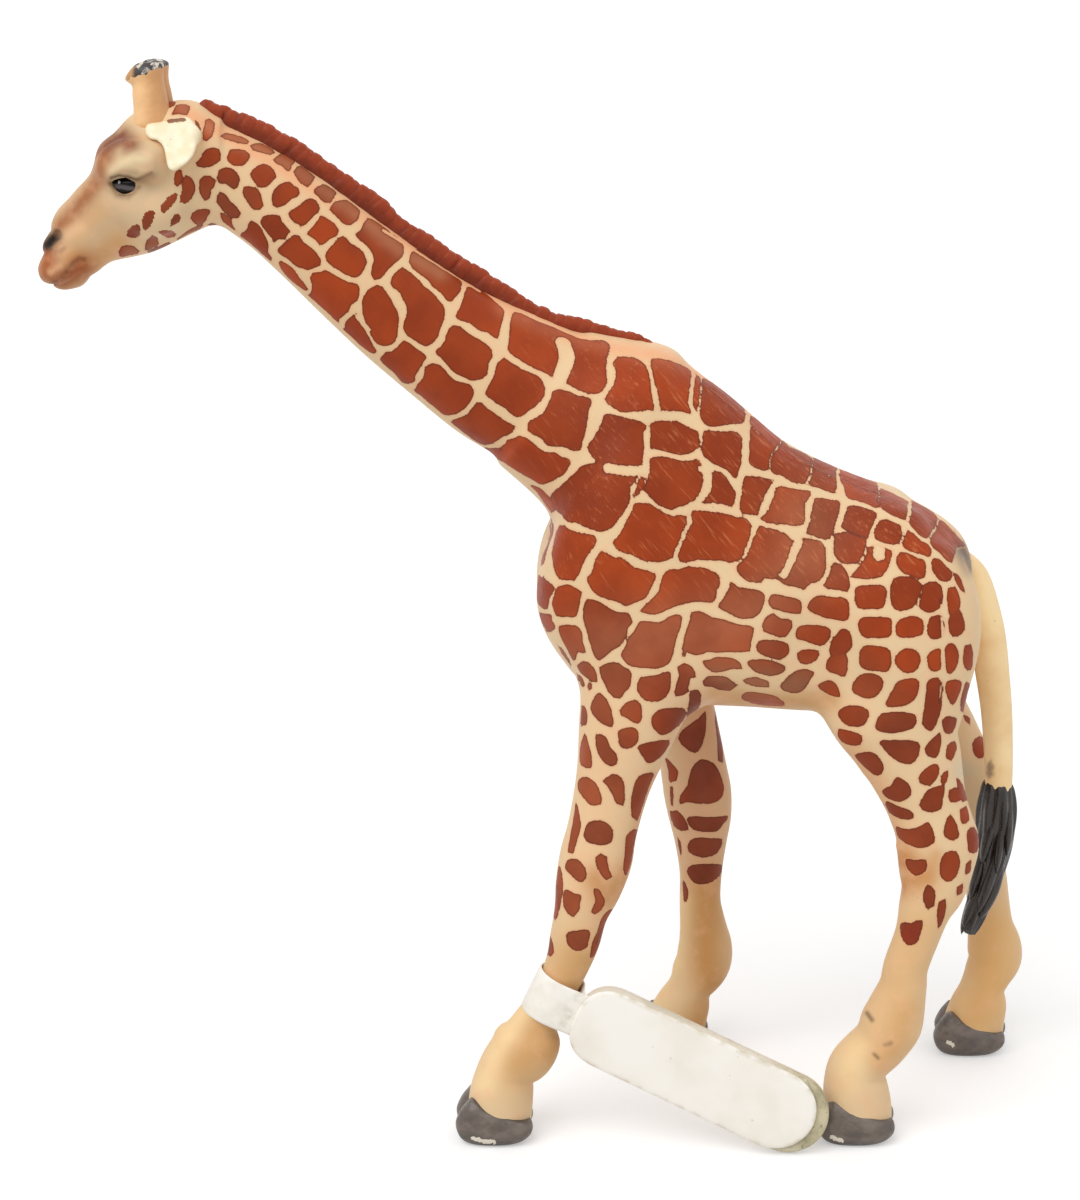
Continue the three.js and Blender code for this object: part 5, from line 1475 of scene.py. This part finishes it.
def mane_paint():
    """Dark red-brown and a little worn on the crests, with painted shade low between the locks and a painted
    highlight toward their crests.
    """
    paint, tree, place = new_paint("mane_paint")
    crest = kept(tree, "crest")
    # Painted shade at the locks' roots and on the strip, and painted highlight toward the crests.
    tall = times_plus(tree, noise(tree, place, 0.9, 3.0), 0.7, crest)
    colour = mix(tree, spread(tree, tall, 0.45, 1.45), fixed(104, 38, 16), fixed(158, 62, 30))
    cloud = spread(tree, noise(tree, place, 0.25), 0.45, 0.75, 0.0, 0.4)
    colour = mix(tree, cloud, colour, fixed(134, 48, 20))
    worn = times(tree, spread(tree, noise(tree, place, 2.2), 0.62, 0.70), spread(tree, crest, 0.75, 1.0))
    colour = mix(tree, times(tree, worn, 0.5), colour, fixed(190, 116, 78))
    lay_paint(tree, colour, sheen(tree, place, 0.7, 0.40, 0.62), noise(tree, place, 2.2, 3.0), 0.7, 0.12,
              {"Specular IOR Level": 0.2})
    return paint


mane_skin_paint = mane_paint()
strip_places, strip_ways = along_line(mane_top, 0.8)
strip_rings = []
angles = full_turn(28)
square = squarish(angles, 4)
half_tall = (strip_deep - strip_below) / 2
up = np.sin(angles) * square * half_tall - strip_below - half_tall
strip_side = np.cos(angles) * square * mane_half_wide * 0.8
for (x, z), (way_x, way_z) in zip(strip_places, strip_ways):
    strip_rings.append(np.column_stack([x - way_z * up, strip_side, z + way_x * up]) + drawing_zero)
strip, strip_points = skinned("mane_strip", strip_rings)
keep_numbers(strip, "crest", np.full(len(strip_points), 0.1))
strip.data.materials.append(mane_skin_paint)
lock = pillow("one_lock", (1.5, mane_half_wide, lock_tall), 3.4)
lock_places, lock_ways = along_line(mane_top, lock_step)
lock_places, lock_ways = lock_places[1:-1], lock_ways[1:-1]
share = np.linspace(0, 1, len(lock_places))
level = np.zeros(len(share))
lock_root = lock_tall - mane_lift * np.interp(share, [0, 0.75, 1], [1, 1, 0.2])
roots = np.column_stack([lock_places[:, 0] + lock_ways[:, 1] * lock_root, level,
                         lock_places[:, 1] - lock_ways[:, 0] * lock_root]) + drawing_zero
slopes = -np.arctan2(lock_ways[:, 1], lock_ways[:, 0])
turns = np.column_stack([level, slopes + lock_lean, level])
sizes = np.column_stack([np.interp(share, [0, 0.5, 1], [1.05, 1.0, 0.95]),
                         np.interp(share, [0, 0.1, 0.9, 1], [0.95, 1, 0.95, 0.7]),
                         np.interp(share, [0, 0.06, 0.85, 1], [0.97, 1.0, 1.0, 0.96])])
locks = make_copies("mane_locks", roots, turns, sizes, lock, 0.07, 0.10, 5, mane_skin_paint)
for piece in (strip, locks):
    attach(piece, "figure")
    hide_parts("mane")
bpy.data.objects.remove(lock)

# Hooves
# Each hoof is a pair of claws side by side, painted grey-brown, and stands a little proud of the leg.
# The upper edge slopes from high at the toe to low at the heel.
claw_rings = [(0.0, -3.6, 2.7, 1.25), (0.07, -4.8, 3.9, 1.90), (0.20, -5.6, 4.9, 2.38),
              (0.42, -5.95, 5.7, 2.58), (0.66, -5.2, 6.0, 2.50), (0.88, -3.9, 5.95, 2.28),
              (1.0, -3.1, 5.75, 2.04)]
crown_line = [(-6.0, 8.1), (-3.7, 8.0), (-3.0, 7.3), (-2.3, 6.6), (-1.3, 5.9), (0.2, 5.3), (2.0, 4.9),
              (4.0, 4.2), (6.0, 3.6)]
claw_apart, claw_grain, hoof_away = 2.36, 0.2, 16.0
hoof_middles = {"left_front_hoof": (-1, -7.9, 0), "right_front_hoof": (1, 21.4, 0.1),
                "left_hind_hoof": (-1, 48.3, 0.1), "right_hind_hoof": (1, 71.5, 0.2)}


def claw_skin(middle_x, middle_y):
    """One claw over levels of (share of the crown's height, front, back, half width)."""
    rings = []
    angles = full_turn(44)
    blunt = squarish(angles, 2.5)
    for share, front, back, half in soft_curve(claw_rings, 6):
        x = (front + back) / 2 + np.cos(angles) * blunt * (back - front) / 2
        y = np.sin(angles) * blunt * half
        crown = np.interp(x, *zip(*crown_line))
        rings.append(np.column_stack([middle_x + x, middle_y + y, share * crown]) + drawing_zero)
    return facing_out(skin(rings))


def hoof_paint():
    """Grey-brown brushed paint, darker at the sole and the crown, chipped to pale plastic at the toe."""
    paint, tree, place = new_paint("hoof_paint")
    high = kept(tree, "high")
    brushed = put(tree, "VectorMath", {0: place, 1: (0.7, 0.7, 1.2)}, operation="MULTIPLY").outputs[0]
    strokes = noise(tree, brushed, 0.5, 4.0, 0.6)
    colour = mix(tree, spread(tree, strokes, 0.32, 0.70), fixed(84, 75, 68), fixed(118, 106, 97))
    worn = spread(tree, times_plus(tree, noise(tree, place, 2.0, 3.0), 1.5, kept(tree, "chip")), 1.34, 1.42)
    for share, over in ((spread(tree, noise(tree, place, 0.28), 0.5, 0.75, 0.0, 0.5), (106, 98, 96)),
                        (spread(tree, high, 0.35, 0.02, 0.0, 0.6), (60, 52, 47)),
                        (spread(tree, high, 0.95, 1.0, 0.0, 0.5), (60, 50, 44)),
                        (spread(tree, noise(tree, place, 1.5), 0.70, 0.75, 0.0, 0.7), (44, 38, 36)),
                        (worn, (230, 220, 204))):
        colour = mix(tree, share, colour, fixed(*over))
    roughness = spread(tree, noise(tree, place, 0.9, 3.0), 0.25, 0.75, 0.30, 0.52)
    lay_paint(tree, colour, roughness, times_plus(tree, worn, -0.5, strokes), 0.7, 0.16)
    return paint


hoof_skin_paint = hoof_paint()
chipped = {"left_front_hoof": [(473, 1138), (484, 1141.5), (494, 1142)],
           "left_hind_hoof": [(832, 1137), (842, 1141)], "right_hind_hoof": [(948, 1042), (953, 1045)],
           "right_front_hoof": [(672, 1028), (678, 1031)]}
chip_reach_px = 2.8
for node, (hand, middle_x, turned) in hoof_middles.items():
    forms = []
    middle_y = hand * hoof_away
    for step in (-claw_apart, claw_apart):
        model_skin(claw_skin(middle_x + turned * step, middle_y + step), 0.55 if forms else 0)
    cleft = np.array([middle_x - 7.2, middle_y, 0.0]), np.array([middle_x - 5.6, middle_y, 8.0])
    lay_bar(*cleft, 1.0, 0.8, 0.5, sign=-1, both=False)
    low = np.array([middle_x - 7.5, middle_y - 6, -0.6]) + drawing_zero
    high = np.array([middle_x + 7.5, middle_y + 6, 9.0]) + drawing_zero
    points, faces = cast(*carve(low, high, claw_grain), claw_grain)
    points[:, 2] = np.maximum(points[:, 2], 0.0)
    hoof = as_object(node + "_claws", points, faces)
    crown = np.interp(points[:, 0] - drawing_zero[0] - middle_x, *zip(*crown_line))
    keep_numbers(hoof, "high", points[:, 2] / crown)
    gap = to_line(in_picture(points), np.array(chipped[node], float), False)
    keep_numbers(hoof, "chip", np.exp(-(gap / chip_reach_px) ** 2) * (points[:, 1] < middle_y + mid_y))
    hoof.data.materials.append(hoof_skin_paint)
    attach(hoof, "figure")
    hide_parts(node)

# Tail and tuft
# The tail is a smooth cream rod plugged into the rump, soiled grey where fingers hold it.
# The tuft is a black cap, ridged like a bundle of wavy strands, that narrows to a blunt end.
tail_line = [(60.4, 88.6, 5.4), (63.3, 86.9, 6.2), (65.3, 84.8, 6.2), (67.0, 80.6, 5.9), (68.4, 75.7, 5.6),
             (69.4, 70, 5.2), (70.3, 64, 4.8), (71.0, 56, 4.4), (71.2, 51.0, 4.2)]
tuft_line = [(71.0, 53.0, 4.2), (71.0, 51.6, 5.6), (71.05, 48.5, 6.6), (71.05, 45, 6.6), (70.8, 41, 6.0),
             (69.9, 36, 5.2), (68.8, 31.5, 4.5), (68.0, 28.6, 3.7), (67.8, 27.2, 2.6)]


def round_loft(name, table, parts, around, ridge=0.0):
    """A round rod through side-view rows of (x, z, diameter), with winding ridges as deep as that share."""
    rows = soft_curve(table, parts)
    angles = full_turn(around)
    rings = []
    for (x, z, wide), (way_x, way_z) in zip(rows, ways_along(rows[:, :2])):
        winding = np.cos(6 * angles + 0.16 * z) + 0.5 * np.cos(13 * angles - 0.30 * z)
        reach = wide / 2 * (1 + ridge * winding)
        out = np.cos(angles) * reach
        ring = np.column_stack([x - way_z * out, np.sin(angles) * reach, z + way_x * out])
        rings.append(ring + drawing_zero)
    return skinned(name, rings)


def tail_paint():
    """Cream with a few specks, and grey smears where it is held."""
    paint, tree, place = new_paint("tail_paint")
    cloud = spread(tree, noise(tree, place, 0.14, 3.0), 0.35, 0.7)
    colour = mix(tree, cloud, fixed(254, 224, 170), fixed(244, 206, 150))
    ragged = times_plus(tree, noise(tree, place, 0.9, 3.0), 0.8, kept(tree, "soiled"))
    colour = mix(tree, spread(tree, ragged, 0.7, 1.3, 0.0, 0.75), colour, fixed(120, 96, 78))
    specks = spread(tree, noise(tree, place, 1.3), 0.72, 0.77, 0.0, 0.4)
    colour = mix(tree, specks, colour, fixed(150, 120, 86))
    lay_paint(tree, colour, sheen(tree, place, 0.5, 0.38, 0.56), noise(tree, place, 0.9, 3.0), 0.6, 0.12)
    return paint


tail, tail_points = round_loft("tail_rod", tail_line, 8, 40)
smears, smear_tall = [((965, 560), 7), ((969, 610), 4.5), ((973, 637), 4.5), ((990, 770), 5)], 2.2
pixels = in_picture(tail_points)
soiled = np.zeros(len(pixels))
for (across, down), reach in smears:
    from_smear = (pixels - (across, down)) / (reach, reach * smear_tall)
    soiled = np.maximum(soiled, np.exp(-(from_smear ** 2).sum(1)))
keep_numbers(tail, "soiled", soiled)
tail.data.materials.append(tail_paint())
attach(tail, "figure")
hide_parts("tail")


def tuft_paint():
    """Half-gloss near-black, with a painted highlight that greys each strand a little along one side."""
    paint, tree, place = new_paint("tuft_paint")
    drawn = put(tree, "VectorMath", {0: place, 1: (1.6, 1.6, 0.14)}, operation="MULTIPLY").outputs[0]
    strands = noise(tree, drawn, 1.2, 3.0, 0.6)
    colour = mix(tree, spread(tree, strands, 0.35, 0.7), fixed(28, 23, 21), fixed(48, 40, 35))
    # Painted highlight along each strand's crest side.
    colour = mix(tree, spread(tree, kept(tree, "crest"), 0.55, 1.0, 0.0, 0.3), colour, fixed(84, 74, 66))
    lay_paint(tree, colour, sheen(tree, place, 0.8, 0.20, 0.36), strands, 0.7, 0.11)
    return paint


def wavy_strand(name, long, wide, around=10, levels=26):
    """A strand with its root at zero that hangs down, swells, waves and runs out to a point."""
    angles = full_turn(around)
    rings, crests = [], []
    for level in np.linspace(0.0, 1.0, levels):
        swell = (0.35 + 0.65 * math.sin(math.pi * min(level * 1.5, 1.0) * 0.5)) * (1 - level ** 7) + 0.04
        sway_x = 0.50 * math.sin(level * 4.2 + 0.3)
        sway_y = 0.35 * math.sin(level * 5.5)
        rings.append(np.column_stack([np.cos(angles) * wide * 0.75 * swell + sway_x,
                                      np.sin(angles) * wide * swell + sway_y,
                                      np.full(around, -level * long)]))
        # crest is 1 along the strand's +x side, where the tuft's paint lays its painted highlight.
        crests += list(0.5 + 0.5 * np.cos(angles))
    made = skinned(name, rings)[0]
    keep_numbers(made, "crest", np.array(crests + [0.5, 0.5]))
    return made


core_in, core_ridge = 0.8, 0.07
strand_long, strand_wide, strand_fall = 14.0, 1.2, 0.8
strand_in, strand_end_in, strand_height_play = 1.1, 1.0, (-1.4, 1.0)
strand_plan = [(53.4, 8, 0.95, 0.0), (46.5, 6, 1.00, 0.5), (40.5, 5, 0.90, 0.2)]
tuft_rows = np.array(tuft_line)[::-1]


def tuft_at(z):
    """The tuft's middle and half its width at a height."""
    return np.interp(z, tuft_rows[:, 1], tuft_rows[:, 0]), np.interp(z, tuft_rows[:, 1], tuft_rows[:, 2]) / 2


tuft_skin_paint = tuft_paint()
core_line = [(x, z, wide - core_in) for x, z, wide in tuft_line]
tuft_core, core_points = round_loft("tuft_core", core_line, 6, 96, core_ridge)
keep_numbers(tuft_core, "crest", np.zeros(len(core_points)))
tuft_core.data.materials.append(tuft_skin_paint)
strand = wavy_strand("one_strand", strand_long, strand_wide, 16)
strand_places, strand_turns, strand_sizes = [], [], []
for top, count, tall, start_turn in strand_plan:
    fall = strand_fall * strand_long * tall
    for i in range(count):
        angle = 2 * math.pi * (i + start_turn) / count
        z = top + dice.uniform(*strand_height_play)
        (x, wide), (low_x, low_wide) = tuft_at(z), tuft_at(z - fall)
        wide -= strand_in
        narrowing = max(low_wide - strand_end_in, 0.1) - wide
        dx = low_x - x + math.cos(angle) * narrowing
        dy = math.sin(angle) * narrowing
        strand_places.append(np.array([x + math.cos(angle) * wide, math.sin(angle) * wide, z]) + drawing_zero)
        strand_turns.append((math.atan2(dy, fall), math.atan2(-dx, fall), 0.0))
        strand_sizes.append((1.0, 1.0, tall))
strands = make_copies("tuft_strands", strand_places, strand_turns, strand_sizes, strand, 0.12, 0.05, 3,
                      tuft_skin_paint)
for piece in (tuft_core, strands):
    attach(piece, "figure")
    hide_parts("tail_tuft")
bpy.data.objects.remove(strand)

# The hang tag
# A thin band of white film goes round the shin, and its ends run in behind a white plate with a foam back.
# The tag turns about the shin; its own directions are out from the leg, through the plate, and up the shin.
tag_hinge = np.array([-0.994, -13.716, 23.168])
shin_way = np.array([0.4186, 0, 0.9082])
tag_out = np.array([0.9032, -0.1045, -0.4163])
tag_turn = np.column_stack([tag_out, np.cross(shin_way, tag_out), shin_way])
band_radius, band_thick, band_wide = 3.69, 0.42, 7.1
plate_near, plate_far, plate_half = 10.4, 39.8, 6.35
face_far_in = 2.1


def in_tag(points):
    """Places given in the tag's own directions, as places in the row's frame."""
    return np.asarray(points, float) @ tag_turn.T + tag_hinge


def plate_outline(inset, far_in=0.0, around=72):
    """The plate's long round-ended outline in the tag's own directions, drawn in by an inset."""
    angles = full_turn(around) + math.pi / around
    cosine, sine = np.cos(angles), np.sin(angles)
    blunt = np.where(cosine < 0, squarish(angles, 2.5), 1.0)
    reach = plate_half - inset
    x = np.where(cosine > 0, plate_far - far_in, plate_near) + cosine * blunt * reach
    return np.column_stack([x, sine * blunt * reach])


def plate_piece(name, levels, far_in):
    """A plate through levels of (depth, inset), from its back to its front."""
    rings = []
    for depth, inset in levels:
        outline = plate_outline(inset, far_in)
        rings.append(in_tag(np.column_stack([outline[:, 0], np.full(len(outline), depth), outline[:, 1]])))
    made, points = skinned(name, rings)
    inset_of = np.repeat([inset for _, inset in levels], len(rings[0]))
    keep_numbers(made, "inset", np.concatenate([inset_of, [levels[0][1], levels[-1][1]]]))
    run = (points - tag_hinge) @ tag_out
    keep_numbers(made, "along", (run - run.min()) / np.ptp(run))
    return made


def tag_face_paint():
    """Smooth white film, bare, with a little yellowing along its edge and painted shadow where the band folds
    in behind the plate.
    """
    paint, tree, place = new_paint("tag_film")
    cloud = spread(tree, noise(tree, place, 0.09, 3.0), 0.4, 0.75)
    colour = mix(tree, cloud, fixed(248, 244, 236), fixed(238, 231, 219))
    edge_and_fold_mask = spread(tree, kept(tree, "inset"), 0.9, 0.0)
    yellowing_and_fold_shadow = times(tree, edge_and_fold_mask, spread(tree, noise(tree, place, 0.5), 0.4, 0.7))
    colour = mix(tree, times(tree, yellowing_and_fold_shadow, 0.6), colour, fixed(196, 182, 150))
    specks = spread(tree, noise(tree, place, 0.8), 0.74, 0.78, 0.0, 0.3)
    colour = mix(tree, specks, colour, fixed(170, 156, 130))
    lay_paint(tree, colour, sheen(tree, place, 0.4, 0.34, 0.5), noise(tree, place, 0.3), 0.5, 0.10)
    return paint


def tag_edge_paint():
    """Pale matt foam, soiled toward the far end, where hands and the ground touch it."""
    paint, tree, place = new_paint("tag_foam")
    cloud = spread(tree, noise(tree, place, 0.35, 3.0), 0.35, 0.7)
    soiled = mix(tree, cloud, fixed(206, 196, 162), fixed(172, 164, 132))
    cloud = spread(tree, noise(tree, place, 0.2, 3.0), 0.35, 0.7)
    clean = mix(tree, cloud, fixed(236, 230, 216), fixed(222, 214, 194))
    handled = times_plus(tree, noise(tree, place, 0.25), 0.30, kept(tree, "along"))
    colour = mix(tree, spread(tree, handled, 0.80, 1.10), clean, soiled)
    grime = spread(tree, noise(tree, place, 1.6, 3.0, 0.65), 0.58, 0.70, 0.0, 0.8)
    grime = times(tree, grime, spread(tree, handled, 0.55, 1.15, 0.12, 1.0))
    colour = mix(tree, grime, colour, fixed(112, 104, 84))
    lay_paint(tree, colour, sheen(tree, place, 1.2, 0.7, 0.95), noise(tree, place, 2.5, 3.0), 0.8, 0.2)
    return paint


film, foam = tag_face_paint(), tag_edge_paint()
face_levels = [(-3.43, 0.5), (-3.43, 0.12), (-3.47, 0.0), (-3.58, 0.0), (-3.70, 0.06), (-3.79, 0.22),
               (-3.84, 0.6), (-3.87, 1.4), (-3.89, 2.8), (-3.90, 4.6)]
back_levels = [(-1.08, 4.0), (-1.08, 0.45), (-1.16, 0.16), (-1.35, 0.02), (-1.7, 0.0), (-2.6, 0.0),
               (-2.95, 0.06), (-3.1, 0.22), (-3.15, 0.5), (-3.15, 4.0)]
plate = plate_piece("tag_plate", face_levels, face_far_in)
backing = plate_piece("tag_foam_back", back_levels, 0.0)
band_path = [(6.6, -3.19), (5.2, -3.19), (4.1, -3.22), (2.9, -3.42), (1.6, -3.62), (0.0, -3.70)]
for angle in np.radians(np.arange(-105, -360, -15)):
    band_path.append((band_radius * math.cos(angle), band_radius * math.sin(angle)))
band_path += [(3.72, -1.2), (3.80, -2.0), (3.92, -2.55)]
band_rows = soft_curve(band_path, 5)
band_rings = []
section = full_turn(24)
section_square = squarish(section, 5)
out = np.cos(section) * section_square * band_thick / 2
up = np.sin(section) * section_square * band_wide / 2
for (x, y), (way_x, way_y) in zip(band_rows, ways_along(band_rows)):
    band_rings.append(in_tag(np.column_stack([x - way_y * out, y + way_x * out, up])))
band = skinned("tag_band", band_rings)[0]
# The band's end, where it runs in behind the plate, gets painted fold shadow through the film paint's edge
# mask.
fold = np.repeat(np.interp(band_rows[:, 0], [1.6, 3.4], [0.6, 0.0]), len(section))
keep_numbers(band, "inset", np.concatenate([fold, [0.0, 0.0]]))
for piece, node, paint, slot_name in ((plate, "tag_strip", film, "tag_face"),
                                      (band, "tag_strip", film, "tag_face"),
                                      (backing, "tag_backing", foam, "tag_edge")):
    piece.data.materials.append(paint)
    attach(piece, "tag")
    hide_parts(node)
